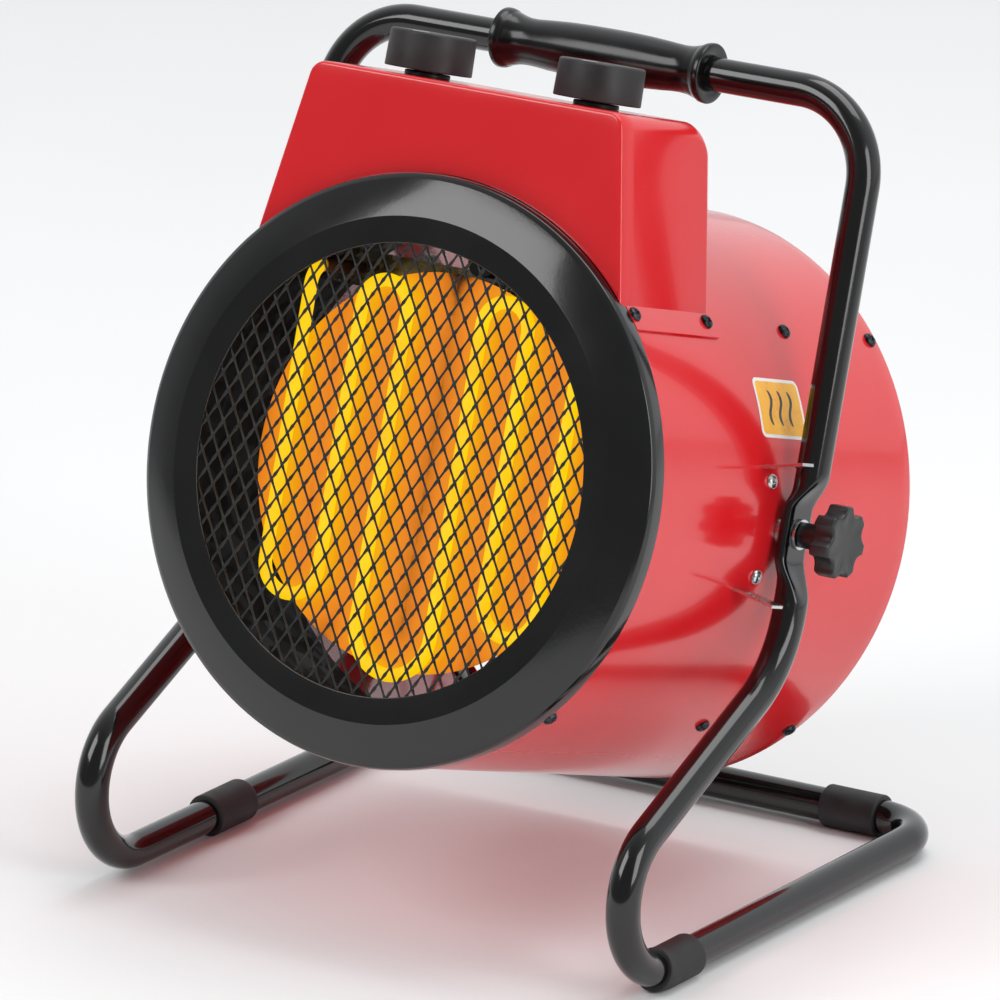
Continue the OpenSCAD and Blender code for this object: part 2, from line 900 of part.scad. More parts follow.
// ---- Control box ----

// Front view of the box, drawn in X and height, moved in by inset on all sides
module box_outline(inset) {
    r = box_corner - inset;
    top = box_top - inset;
    half = box_top_w - inset / cos(box_slope) + inset * tan(box_slope);
    cx = half - r * (1 - sin(box_slope)) / cos(box_slope);
    foot_w = half + top * tan(box_slope);
    shoulder = [cx + r * cos(box_slope), top - r + r * sin(box_slope)];
    polygon([
        [-foot_w, 0], [foot_w, 0], shoulder, [cx, top], [-cx, top], [-shoulder[0], shoulder[1]]
    ]);
    for (side = [-1, 1]) translate([side * cx, top - r]) circle(r = r);
}

// Solid of the box from s0 to s1 with its top rear edge rounded, moved in by inset
module box_solid(inset, s0, s1) {
    r = box_rear_round - inset;
    top = box_top - inset;
    intersection() {
        translate([0, s1, 0]) rotate([90, 0, 0]) linear_extrude(s1 - s0) box_outline(inset);
        translate([-drum_r, 0, 0]) rotate([90, 0, 90]) linear_extrude(drum_d) {
            polygon([[s0, 0], [s1, 0], [s1, top - r], [s1 - r, top], [s0, top]]);
            translate([s1 - r, top - r]) circle(r = r);
        }
    }
}

// Room for the drum and for the front ring's rim under the box
module drum_room() {
    back = box_back + past;
    along_drum() translate([0, 0, front_s - past])
        cylinder(h = back - front_s + past, r = drum_r + gap, $fn = 180);
    along_drum() translate([0, 0, front_s - past])
        cylinder(h = rim_end - front_s + past + 0.3, r = rim_out + 0.3, $fn = 180);
}

module control_panel() {
    color(RED) tilted() difference() {
        translate([0, front_s + sheet, 0]) rotate([90, 0, 0]) linear_extrude(sheet) box_outline(0);
        drum_room();
    }
}

module knob_places() {
    for (side = [-1, 1]) translate([side * knob_x, knob_s, 0]) children();
}

module box_flange() {
    intersection() {
        hoop(drum_r + gap, drum_r + gap + sheet, rim_end + 0.3, box_back);
        wedge_x(flange_low, flange_high, front_s, box_back + past);
    }
}

module control_cover() {
    panel_back = front_s + sheet;
    color(RED) tilted() difference() {
        union() {
            difference() {
                box_solid(0, panel_back, box_back);
                box_solid(sheet, panel_back - past, box_back - sheet);
            }
            for (side = [0, 1]) mirror([side, 0, 0]) box_flange();
        }
        drum_room();
        knob_places() translate([0, 0, box_top - 2 * sheet]) cylinder(h = 4 * sheet, r = bush_r + hair);
        translate([0, box_back - 2 * sheet, gland_z]) along_drum()
            cylinder(h = 4 * sheet, r = gland_thread_r + hair);
        screw_holes(upper_screws, -end_screws);
        screw_holes(upper_screws, flange_back_screw);
    }
}

// A control that hangs under the box's top with a threaded bush through it
module control_body(width) {
    under = box_top - sheet - hair;
    translate([-width / 2, -width / 2, under - control_body_h]) cube([width, width, control_body_h]);
    translate([0, 0, under]) cylinder(h = bush_top - under, r = bush_r);
}

module control_bore() {
    translate([0, 0, stem_low - 2]) cylinder(h = bush_top - stem_low + 2 * past + 2, r = stem_r + run_fit);
}

module thermostat() {
    color(IVORY) tilted() translate([-knob_x, knob_s, 0]) difference() {
        control_body(36);
        control_bore();
    }
}

module selector_switch() {
    color(BLACK) tilted() translate([knob_x, knob_s, 0]) difference() {
        control_body(32);
        control_bore();
    }
}

module bush_nuts() {
    color(ZINC) tilted() knob_places() difference() {
        translate([0, 0, box_top + hair]) cylinder(h = 2.4, r = 8.5, $fn = 6);
        translate([0, 0, box_top - past]) cylinder(h = 6, r = bush_r + run_fit);
    }
}

// A control knob with a hollow underside that clears the nut and the bush
module dial_knob() {
    r = knob_d / 2;
    low = box_top + knob_gap;
    high = low + knob_h;
    roof = high - 9;
    edge = 1.6;
    skirt = 2.5;
    socket_r = 7;
    difference() {
        rotate_extrude($fn = 128) polygon([
            [0, low], [socket_r, low], [socket_r, roof], [r - skirt, roof], [r - skirt, low],
            [r, low], [r, high - edge], [r - 0.3 * edge, high - 0.3 * edge], [r - edge, high], [0, high]
        ]);
        translate([0, 0, low - past]) cylinder(h = socket_h + past + run_fit, r = stem_r + run_fit);
    }
}

module dial_stem() {
    translate([0, 0, stem_low]) cylinder(h = box_top - stem_low + knob_gap + socket_h, r = stem_r);
}

module thermostat_knob() {
    color(RUBBER) tilted() translate([-knob_x, knob_s, 0]) dial_knob();
}

module thermostat_shaft() {
    color(STEEL) tilted() translate([-knob_x, knob_s, 0]) dial_stem();
}

module selector_knob() {
    color(RUBBER) tilted() translate([knob_x, knob_s, 0]) dial_knob();
}

module selector_shaft() {
    color(STEEL) tilted() translate([knob_x, knob_s, 0]) dial_stem();
}

module terminal_block() {
    half = 24;
    depth = 14;
    height = 15;
    well_pitch = 9;
    color(IVORY) tilted() difference() {
        translate([-half, terminal_s, drum_r]) cube([2 * half, depth, height]);
        for (i = [-2 : 2]) translate([i * well_pitch, terminal_s + depth / 2, drum_r + 6])
            cylinder(h = height, r = 2.4);
    }
}

module wire_grommet() {
    flange_r = 10.5;
    wire_r = 5;
    rise = drum_r - sqrt(drum_r * drum_r - flange_r * flange_r);
    under = drum_in - rise;
    over = drum_r + 2;
    neck = grommet_hole_r - hair;
    color(RUBBER) tilted() translate([0, grommet_s, 0]) rotate_extrude() polygon([
        [wire_r, under - 2], [flange_r, under - 2], [flange_r, under - 0.3], [neck, under - 0.3],
        [neck, drum_r + gap], [flange_r, drum_r + gap], [flange_r, over], [wire_r, over]
    ]);
}

module cable_gland() {
    hex_r = 12;
    hex_t = 5;
    cap_r = hex_r - 2;
    cap_t = 14;
    inside = gland_nut_t + sheet + 3;
    color(BLACK) tilted() translate([0, box_back, gland_z]) along_drum() difference() {
        union() {
            translate([0, 0, -inside]) cylinder(h = inside, r = gland_thread_r);
            cylinder(h = hex_t, r = hex_r, $fn = 6);
            translate([0, 0, hex_t]) rotate_extrude() polygon([
                [0, 0], [cap_r, 0], [cap_r, cap_t - 4], [cap_r - 2, cap_t], [0, cap_t]
            ]);
        }
        translate([0, 0, -inside - past])
            cylinder(h = inside + hex_t + cap_t + 2 * past, r = cable_r);
    }
}

module gland_nut() {
    color(BLACK) tilted() translate([0, box_back - sheet - hair - gland_nut_t, gland_z])
        along_drum() difference() {
            cylinder(h = gland_nut_t, r = gland_nut_r, $fn = 6);
            translate([0, 0, -past]) cylinder(h = gland_nut_t + 2 * past, r = gland_thread_r);
        }
}

// ---- Screws ----

// Pan head screw along +X, with its head's seat at the given radius
module pan_screw(seat) {
    length = 7;
    rod_x(seat - length, seat + hair, screw_r);
    translate([seat, 0, 0]) rotate([0, 90, 0]) rotate_extrude() polygon([
        [0, 0], [screw_head_r, 0], [screw_head_r, 0.4 * screw_head_h],
        [0.8 * screw_head_r, 0.8 * screw_head_h], [0.45 * screw_head_r, screw_head_h],
        [0, screw_head_h]
    ]);
}

module drum_screws() {
    on_drum = drum_r + hair;
    on_flange = drum_r + gap + sheet + hair;
    color(BLACK) tilted() {
        for (angle = upper_screws) {
            around_drum(angle, -end_screws) pan_screw(on_flange);
            around_drum(angle, flange_back_screw) pan_screw(on_flange);
        }
        for (angle = lower_screws) around_drum(angle, -end_screws) pan_screw(on_drum);
        for (s = [mid_screws, end_screws]) for (angle = all_screws)
            around_drum(angle, s) pan_screw(on_drum);
    }
}

module bracket_screws() {
    color(ZINC) tilted() for (side = [0, 1]) mirror([side, 0, 0])
        for (angle = [bracket_screw_angle, -bracket_screw_angle])
            around_drum(angle, bracket_screw_s) pan_screw(drum_r + hair);
}

handle_tube();
upright_left();
upright_right();
pivot_flat_left();
pivot_flat_right();
leg_left();
leg_right();
knee_left();
knee_right();
front_bend_left();
front_bend_right();
rail_left();
rail_right();
rear_bar();
hand_grip();
foot_front_left();
foot_front_right();
rear_feet();
drum_shell();
front_ring();
front_mesh();
mesh_retainer();
heat_liner();
heating_element();
element_terminals();
element_bracket();
reflector_plate();
thermal_cutout();
cutout_bracket();
motor_bracket();
fan_motor();
fan_shaft();
fan_blades();
rear_guard();
pivot_bracket_left();
pivot_bracket_right();
pivot_bolt_left();
pivot_bolt_right();
pivot_spacers();
pivot_washer_left();
pivot_washer_right();
star_knob_left();
star_knob_right();
knob_insert_left();
knob_insert_right();
control_panel();
control_cover();
thermostat();
selector_switch();
bush_nuts();
terminal_block();
wire_grommet();
cable_gland();
gland_nut();
drum_screws();
bracket_screws();
thermostat_knob();
thermostat_shaft();
selector_knob();
selector_shaft();
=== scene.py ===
"""Looks of a portable drum fan heater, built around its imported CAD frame.

The finished pieces are surfaces worked out with numpy in millimetres, in the frame of the CAD model, and every
finish is a node material whose pattern sizes are real sizes.
"""

import json
import math

import bpy
import numpy as np
from mathutils import Matrix, Vector


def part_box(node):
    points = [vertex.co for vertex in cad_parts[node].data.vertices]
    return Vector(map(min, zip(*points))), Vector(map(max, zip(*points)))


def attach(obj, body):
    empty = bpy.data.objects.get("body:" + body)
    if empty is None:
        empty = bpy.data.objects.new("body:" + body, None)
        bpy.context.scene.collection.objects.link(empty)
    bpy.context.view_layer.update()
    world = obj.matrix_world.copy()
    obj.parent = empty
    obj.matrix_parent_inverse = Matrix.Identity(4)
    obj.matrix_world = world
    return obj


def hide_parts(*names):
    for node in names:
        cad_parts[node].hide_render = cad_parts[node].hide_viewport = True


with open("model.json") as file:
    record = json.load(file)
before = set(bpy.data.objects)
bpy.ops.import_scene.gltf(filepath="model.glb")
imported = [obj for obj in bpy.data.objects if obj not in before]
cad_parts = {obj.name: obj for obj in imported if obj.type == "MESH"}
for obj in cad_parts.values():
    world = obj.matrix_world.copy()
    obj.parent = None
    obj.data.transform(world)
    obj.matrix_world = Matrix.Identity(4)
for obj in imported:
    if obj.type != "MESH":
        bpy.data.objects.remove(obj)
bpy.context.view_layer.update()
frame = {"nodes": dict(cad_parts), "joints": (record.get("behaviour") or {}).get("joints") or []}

MM = 0.001
TAU = 2 * math.pi

# ---- places taken from the frame

JOINTS = {joint["name"]: joint for joint in frame["joints"]}
X = np.array([1.0, 0.0, 0.0])
Z = np.array([0.0, 0.0, 1.0])
PIVOT = np.array(JOINTS["tilt"]["pos_m"]) / MM
AXIS = np.array(JOINTS["fan_spin"]["axis"])
DRUM_UP = np.cross(X, AXIS)


def corners(node):
    """Lowest and highest corners of a CAD node, in millimetres."""
    low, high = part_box(node)
    return np.array(low) / MM, np.array(high) / MM


def middle(node):
    """Middle of a CAD node's box, in millimetres."""
    low, high = corners(node)
    return (low + high) / 2


def in_drum(points):
    """Moves points (x, s, z) to the frame: x and z from the drum's axis, s along it to the rear, from the pivot."""
    points = np.asarray(points, float)
    return PIVOT + points[..., :1] * X + points[..., 1:2] * AXIS + points[..., 2:3] * DRUM_UP


def on_drum(angle, s, radius):
    """Points on a cylinder about the drum's axis: angle in radians above the right side, s along the axis."""
    angle, s, radius = np.broadcast_arrays(angle, s, radius)
    return in_drum(np.stack([radius * np.cos(angle), s, radius * np.sin(angle)], -1))


# Sizes of the drum and what is on it, in millimetres
DRUM_R = 152.7
SHEET = 1.2
DRUM_HALF = 131.0
OPENING_R = 117.0
BAND_R = 131.0
BAND_S = -145.4
RIM_R = 154.0
RIM_END = -126.5
BOX_BACK = -43.0
BOX_TOP = 201.0
BOX_HALF = 95.0
BOX_SLOPE = math.radians(10.5)
BOX_CORNER = 9.0
BOX_REAR_ROUND = 15.0
ELEMENT_S = -115.0
FAN_R = 118.0


# ---- surfaces from grids of points


def round_angles(sides):
    """Angles of so many equal steps round a circle."""
    return np.arange(sides) * TAU / sides


def quads(rows, columns, ring):
    """Quads between the rows and columns of a grid. The columns close on themselves, and so do a ring's rows."""
    row, column = np.meshgrid(np.arange(rows if ring else rows - 1), np.arange(columns), indexing="ij")
    next_row, next_column = (row + 1) % rows, (column + 1) % columns
    near, far = row * columns, next_row * columns
    grid = [near + column, near + next_column, far + next_column, far + column]
    return np.stack(grid, -1).reshape(-1, 4)


def facing_out(points, faces):
    """Turns all faces round when the volume that they enclose, summed over their fans of triangles, is negative."""
    middle_point = points.mean(0)
    volume = 0.0
    for block in faces:
        corner = points[block] - middle_point
        for i in range(1, block.shape[1] - 1):
            volume += np.einsum("ij,ij->", corner[:, 0], np.cross(corner[:, i], corner[:, i + 1]))
    return [block[:, ::-1] for block in faces] if volume < 0 else faces


def skin(rows, ring=False):
    """A closed skin over rows of points: quads between the rows, and a flat face over each end unless it is a ring."""
    rows = np.asarray(rows, float)
    count, width = rows.shape[:2]
    points = rows.reshape(-1, 3)
    faces = [quads(count, width, ring)]
    if not ring:
        faces += [np.arange(width)[None, ::-1], (count - 1) * width + np.arange(width)[None]]
    return points, facing_out(points, faces)


def turned(profile, origin, axis, sides=96, ring=False, swell=0.0):
    """A turned piece: each (radius, place along the axis) of the profile goes round the axis; swell is added to the
    radius, and may be a grid with one row for each profile point and one column for each side."""
    profile = np.asarray(profile, float)
    axis = np.asarray(axis, float) / np.linalg.norm(axis)
    across = X if abs(axis[0]) < 0.9 else np.array([0.0, 0.0, 1.0])
    across = across - axis * (across @ axis)
    across /= np.linalg.norm(across)
    other = np.cross(across, axis)
    angle = round_angles(sides)
    radius = profile[:, :1] + swell + np.zeros((1, sides))
    round_it = np.cos(angle)[:, None] * across + np.sin(angle)[:, None] * other
    rows = np.asarray(origin, float) + profile[:, 1][:, None, None] * axis + radius[..., None] * round_it
    return skin(rows, ring)


def rounded(outline, radius, steps=4):
    """A closed outline with each corner made an arc. radius is one number, or one for each corner."""
    outline = np.asarray(outline, float)
    radii = np.broadcast_to(np.asarray(radius, float), len(outline))
    made = []
    for i, corner in enumerate(outline):
        to_last = outline[i - 1] - corner
        to_next = outline[(i + 1) % len(outline)] - corner
        a, b = np.linalg.norm(to_last), np.linalg.norm(to_next)
        to_last, to_next = to_last / a, to_next / b
        half = math.acos(float(np.clip(to_last @ to_next, -1, 1))) / 2
        if radii[i] <= 0 or half > 0.49 * math.pi:
            made.append(corner)
            continue
        reach = min(radii[i] / math.tan(half), 0.45 * a, 0.45 * b)
        start, end = corner + to_last * reach, corner + to_next * reach
        bend_r = reach * math.tan(half)
        bisector = (to_last + to_next) / np.linalg.norm(to_last + to_next)
        centre = corner + bisector * bend_r / math.sin(half)
        for share in np.linspace(0, 1, steps + 1):
            way = (start - centre) * (1 - share) + (end - centre) * share
            made.append(centre + way / np.linalg.norm(way) * bend_r)
    return np.array(made)


def spaced(outline, step):
    """The same closed outline with long edges split into equal parts no longer than step."""
    made = []
    for a, b in zip(outline, np.roll(outline, -1, 0)):
        count = max(1, int(math.ceil(np.linalg.norm(b - a) / step)))
        made.append(a + (b - a) * (np.arange(count) / count)[:, None])
    return np.concatenate(made)


def smooth_step(value):
    """0 below 0 and 1 above 1, with a smooth rise between them."""
    value = np.clip(value, 0, 1)
    return value * value * (3 - 2 * value)


def block(low, high, edge):
    """A rectangular bar between two corners, its four edges along the first axis rounded by edge."""
    (x0, y0, z0), (x1, y1, z1) = low, high
    section = rounded([(y0, z0), (y1, z0), (y1, z1), (y0, z1)], edge, 3)
    inner = section + (section.mean(0) - section) * 2 * edge / max(y1 - y0, z1 - z0)
    rows = [
        np.column_stack([np.full(len(section), at), shape])
        for at, shape in ((x0, inner), (x0 + edge, section), (x1 - edge, section), (x1, inner))
    ]
    return skin(in_drum(np.array(rows)))


def show(name, data):
    """An object of the scene with this data."""
    made = bpy.data.objects.new(name, data)
    bpy.context.scene.collection.objects.link(made)
    return made


def add_piece(name, shapes, finish, body, nodes=(), sharp=35):
    """Makes one object from closed shapes, which rides on its body and stands for the CAD nodes it replaces."""
    points, loops, totals, start = [], [], [], 0
    for shape_points, faces in shapes:
        points.append(shape_points)
        for face_block in faces:
            loops.append((face_block + start).ravel())
            totals.append(np.full(len(face_block), face_block.shape[1]))
        start += len(shape_points)
    points, loops, totals = np.concatenate(points) * MM, np.concatenate(loops), np.concatenate(totals)
    mesh = bpy.data.meshes.new(name)
    mesh.vertices.add(len(points))
    mesh.vertices.foreach_set("co", points.astype(np.float32).ravel())
    mesh.loops.add(len(loops))
    mesh.loops.foreach_set("vertex_index", loops.astype(np.int32))
    mesh.polygons.add(len(totals))
    mesh.polygons.foreach_set("loop_start", np.concatenate([[0], np.cumsum(totals)[:-1]]).astype(np.int32))
    mesh.update(calc_edges=True)
    mesh.shade_smooth()
    mesh.set_sharp_from_angle(angle=math.radians(sharp))
    mesh.materials.append(finish)
    made = show(name, mesh)
    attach(made, body)
    if nodes:
        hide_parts(*nodes)
    return made


# ---- finishes


def linear(hex_colour):
    """The linear colour that Blender wants, from an sRGB hex value."""
    parts = [int(hex_colour[i : i + 2], 16) / 255 for i in (1, 3, 5)]
    return tuple(p / 12.92 if p <= 0.04045 else ((p + 0.055) / 1.055) ** 2.4 for p in parts) + (1.0,)


def add(tree, kind, inputs=None, stops=(), **settings):
    """Adds one node to a tree. Each input takes a value or another node's output, and the stops of a node that has them
    are (place, hex colour)."""
    made = tree.nodes.new("ShaderNode" + kind)
    for key, value in settings.items():
        setattr(made, key, value)
    for key, value in (inputs or {}).items():
        if isinstance(value, bpy.types.NodeSocket):
            tree.links.new(value, made.inputs[key])
        else:
            made.inputs[key].default_value = value
    if stops:
        elements = made.color_ramp.elements
        while len(elements) < len(stops):
            elements.new(0.5)
        for element, (place, colour) in zip(elements, stops):
            element.position = place
            element.color = linear(colour)
    return made


def blank(name, **shader_values):
    """A material with these shader values. Returns it, its tree, its shader and the place on the object."""
    made = bpy.data.materials.new(name)
    made.use_nodes = True
    tree = made.node_tree
    shader = tree.nodes["Principled BSDF"]
    for key, value in shader_values.items():
        shader.inputs[key.replace("_", " ")].default_value = value
    return made, tree, shader, add(tree, "TexCoord").outputs["Object"]


def relief(tree, shader, height, depth_mm, edge_mm=0.0):
    """Lets a height pattern raise the surface by depth_mm, over the mesh's sharp edges softened by edge_mm."""
    inputs = {"Height": height, "Distance": depth_mm * MM, "Strength": 1.0}
    if edge_mm:
        inputs["Normal"] = add(tree, "Bevel", {"Radius": edge_mm * MM}, samples=4).outputs[0]
    tree.links.new(add(tree, "Bump", inputs).outputs[0], shader.inputs["Normal"])


def soft_coat(name, tone, second_tone, roughness, patch_mm, grain_mm, depth_mm, edge_mm=0.0, **shader_values):
    """A coating or a moulding: two close tones in soft patches, a fine grain in the relief, and gloss that varies."""
    made, tree, shader, place = blank(name, **shader_values)
    patch = add(tree, "TexNoise", {"Vector": place, "Scale": 1 / (patch_mm * MM), "Detail": 3.0}).outputs[0]
    colour = add(tree, "ValToRGB", {0: patch}, [(0.3, tone), (0.7, second_tone)])
    tree.links.new(colour.outputs[0], shader.inputs["Base Color"])
    gloss = add(tree, "MapRange", {0: patch, 1: 0.3, 2: 0.7, 3: roughness * 0.85, 4: roughness * 1.15})
    tree.links.new(gloss.outputs[0], shader.inputs["Roughness"])
    grain = add(tree, "TexNoise", {"Vector": place, "Scale": 1 / (grain_mm * MM), "Detail": 2.0}).outputs[0]
    relief(tree, shader, grain, depth_mm, edge_mm)
    return made


def bare_metal(name, tone, second_tone, roughness, cell_mm, scratch_mm, edge_mm=0.0, **shader_values):
    """A plated or bare metal: crystal cells of two tones, fine scratches, and gloss that varies by cell."""
    made, tree, shader, place = blank(name, Metallic=1.0, **shader_values)
    cells = add(tree, "TexVoronoi", {"Vector": place, "Scale": 1 / (cell_mm * MM)}).outputs["Color"]
    grey = add(tree, "RGBToBW", {0: cells}).outputs[0]
    colour = add(tree, "ValToRGB", {0: grey}, [(0.2, tone), (0.8, second_tone)])
    tree.links.new(colour.outputs[0], shader.inputs["Base Color"])
    gloss = add(tree, "MapRange", {0: grey, 1: 0.1, 2: 0.9, 3: roughness * 0.75, 4: roughness * 1.25})
    tree.links.new(gloss.outputs[0], shader.inputs["Roughness"])
    drawn = add(tree, "Mapping", {"Vector": place, "Scale": (1.0, 6.0, 1.0)}).outputs[0]
    scratch = add(tree, "TexNoise", {"Vector": drawn, "Scale": 1 / (scratch_mm * MM), "Detail": 3.0}).outputs[0]
    relief(tree, shader, scratch, SCRATCH_DEPTH, edge_mm)
    return made


# After the two tones come the roughness and sizes in millimetres. A coat has those of its patches, grain, relief and
# softened edges, and a metal those of its cells, scratches and softened edges.
SCRATCH_DEPTH = 0.004
# Polyester powder coat, red: even and glossy, with the faint orange peel of a baked powder
RED_COAT = soft_coat(
    "red_powder_coat", "#d61c23", "#dc2027", 0.17, 70, 2.6, 0.010, IOR=1.5, Coat_Weight=0.35, Coat_Roughness=0.05
)
# The same powder in black on tube and spinning: near black, with a mirror-like gloss and a little peel
BLACK_COAT = soft_coat(
    "black_powder_coat", "#0b0b0c", "#111112", 0.13, 60, 2.2, 0.012, IOR=1.5, Coat_Weight=0.3, Coat_Roughness=0.04
)
# Spun steel ring in black enamel: the peel is coarser, so that reflections break up at their edges
RING_COAT = soft_coat(
    "black_ring_enamel", "#0d0d0e", "#151516", 0.15, 50, 1.7, 0.022, IOR=1.5, Coat_Weight=0.25, Coat_Roughness=0.06
)
# Dipped enamel on expanded metal: duller than the ring, thin on the knuckles
MESH_COAT = soft_coat("black_mesh_enamel", "#121213", "#232425", 0.32, 9, 0.9, 0.02, IOR=1.5)
# Polypropylene grip, polished mould: deep black and glossy
GRIP_PLASTIC = soft_coat("gloss_black_polypropylene", "#0a0a0b", "#141415", 0.2, 22, 1.1, 0.012, IOR=1.49)
# ABS dials from a spark-eroded mould: matt, dark grey in the light
DIAL_PLASTIC = soft_coat("matt_black_abs", "#1b1b1c", "#242425", 0.5, 14, 0.45, 0.03, IOR=1.53)
# Glass-filled nylon star knobs: satin black
STAR_PLASTIC = soft_coat("satin_black_nylon", "#141415", "#1d1d1e", 0.34, 12, 0.6, 0.015, IOR=1.53)
# Nylon of fan, gland and switch bodies: satin and slightly waxy
DARK_NYLON = soft_coat("dark_nylon", "#19191a", "#222224", 0.42, 15, 0.6, 0.02, 0.3, IOR=1.53)
# Rubber sleeves and grommet: dull, a little chalky, fine cut grain
RUBBER = soft_coat("black_rubber", "#1c1c1d", "#28282a", 0.62, 10, 0.5, 0.04, IOR=1.52)
# Steatite and urea mouldings of the terminals and controls: warm off-white
CERAMIC = soft_coat("ivory_steatite", "#e2dbc9", "#d3cab4", 0.45, 8, 0.6, 0.02, 0.3, IOR=1.6)
# Bright zinc plate: cool silver with faint blue and straw patches
ZINC = bare_metal("bright_zinc_plate", "#c9ced4", "#dcdad2", 0.24, 3.5, 0.5, 0.25)
# Hot-dip galvanised sheet: grey spangle, dull
GALVANISED = bare_metal("galvanised_sheet", "#8f9498", "#a9adb0", 0.42, 8, 0.8, 0.2)
# Sheet that has been hot many times: dark brown-black scale, no shine
SCALED_STEEL = bare_metal("heat_scaled_steel", "#171310", "#241d18", 0.62, 7, 0.9, 0.2)
# Ground steel of shafts and motor ends
STEEL = bare_metal("ground_steel", "#8b8e92", "#a3a6aa", 0.3, 2.5, 0.35, 0.25)
# Free-cutting brass inserts
BRASS = bare_metal("turned_brass", "#b8903c", "#cfa955", 0.25, 2.5, 0.3, 0.2)
# Black oxide on steel screws: oily dark grey with bright worn spots on the dome
BLACK_SCREW = bare_metal("black_oxide_steel", "#26282b", "#4a4d51", 0.32, 1.4, 0.3)
# Printed vinyl of the label: white border, amber field, black print
VINYL_WHITE = soft_coat("white_vinyl", "#f4f2ee", "#eeece6", 0.3, 12, 1.2, 0.004, IOR=1.5)
VINYL_AMBER = soft_coat("amber_vinyl_print", "#f6a81c", "#ffbe2e", 0.3, 9, 1.2, 0.004, IOR=1.5)
VINYL_INK = soft_coat("black_vinyl_print", "#151515", "#1d1d1d", 0.3, 9, 1.2, 0.004, IOR=1.5)


def glowing_tube():
    """Sheathed element at full heat: an even yellow-orange light over dark oxide, slightly uneven along the tube. The
    light dies away along the leads, measured from the plane of the glowing runs to the rear along the drum."""
    made, tree, shader, place = blank("glowing_element_sheath", Roughness=0.6)
    uneven = add(tree, "TexNoise", {"Vector": place, "Scale": 1 / (28 * MM), "Detail": 2.0}).outputs[0]
    colour = add(tree, "ValToRGB", {0: uneven}, [(0.25, "#ffc400"), (0.65, "#ffda0a")])
    tree.links.new(colour.outputs[0], shader.inputs["Emission Color"])
    colour = add(tree, "ValToRGB", {0: uneven}, [(0.3, "#5a3410"), (0.7, "#70441a")])
    tree.links.new(colour.outputs[0], shader.inputs["Base Color"])
    depth = add(tree, "VectorMath", {0: place, 1: AXIS.tolist()}, operation="DOT_PRODUCT").outputs["Value"]
    hot_plane = float(PIVOT @ AXIS + ELEMENT_S) * MM
    cooling = {0: depth, 1: hot_plane + 4 * MM, 2: hot_plane + 9 * MM, 3: 0.95, 4: 0.0}
    tree.links.new(add(tree, "MapRange", cooling).outputs[0], shader.inputs["Emission Strength"])
    oxide = add(tree, "TexNoise", {"Vector": place, "Scale": 1 / (0.8 * MM), "Detail": 2.0}).outputs[0]
    relief(tree, shader, oxide, 0.03)
    return made


def plate_with_painted_glow():
    """Steel plate behind the element, with the orange light of the near tube painted on it as a glow that falls off
    with distance to bare dark scale. The mesh's nearness value is 1 on the tube's line and 0 where its light ends."""
    made, tree, shader, place = blank("reflector_painted_element_glow", Metallic=0.6, Roughness=0.6)
    near = add(tree, "Attribute", attribute_name="nearness").outputs["Fac"]
    mottle = add(tree, "TexNoise", {"Vector": place, "Scale": 1 / (9 * MM), "Detail": 3.0}).outputs[0]
    # painted glow: the mottle makes the painted light of the element uneven
    uneven_glow = add(tree, "MapRange", {0: mottle, 1: 0.3, 2: 0.7, 3: -0.035, 4: 0.035}).outputs[0]
    level = add(tree, "Math", {0: near, 1: uneven_glow}, operation="ADD").outputs[0]
    # painted light: the element's orange glow on the plate, bright near the tube and fading to black away from it
    glow_fade_stops = [(0.03, "#000000"), (0.14, "#5c2c06"), (0.26, "#d9780f")]
    glow_core_stops = [(0.5, "#f58a1c"), (0.78, "#f99a14"), (0.95, "#ffb20a")]
    colour = add(tree, "ValToRGB", {0: level}, glow_fade_stops + glow_core_stops)
    tree.links.new(colour.outputs[0], shader.inputs["Emission Color"])
    # the plate emits the painted glow; it is not a lamp
    shader.inputs["Emission Strength"].default_value = 0.9
    colour = add(tree, "ValToRGB", {0: mottle}, [(0.3, "#1a1512"), (0.7, "#2a221c")])
    tree.links.new(colour.outputs[0], shader.inputs["Base Color"])
    relief(tree, shader, mottle, 0.05)
    return made


GLOWING = glowing_tube()
# the reflector's material paints the element's light on the plate as glow
ELEMENT_GLOW_PAINT = plate_with_painted_glow()

# ---- stand

LEAN = math.radians(17.2)
LEG_ANGLE = math.radians(24.1)
TOP_BEND, KNEE_BEND, FRONT_BEND, REAR_BEND = 45.0, 65.0, 40.0, 32.0
FLAT_T, FLAT_W = 7.0, 24.0
FLAT_HALF, PINCH_UP, PINCH_DOWN = 12.0, 34.0, 39.7
RAIL_LOW, RAIL_HIGH = corners("rail_right")
TUBE_R = (RAIL_HIGH[2] - RAIL_LOW[2]) / 2
STAND_X = (RAIL_LOW[0] + RAIL_HIGH[0]) / 2
RAIL_Z = (RAIL_LOW[2] + RAIL_HIGH[2]) / 2
HANDLE = middle("handle_tube")
TUBE_UP = np.array([0.0, math.sin(LEAN), math.cos(LEAN)])
KNEE_TURN = math.pi / 2 - LEAN - LEG_ANGLE
KNEE_REACH = KNEE_BEND * math.tan(KNEE_TURN / 2)
LEG_LOW, LEG_HIGH = corners("leg_right")
LEG_WAY = np.array([math.sin(LEG_ANGLE), math.cos(LEG_ANGLE)])
LEG_LEN = np.linalg.norm((LEG_HIGH - LEG_LOW)[1:] - 2 * TUBE_R * LEG_WAY)


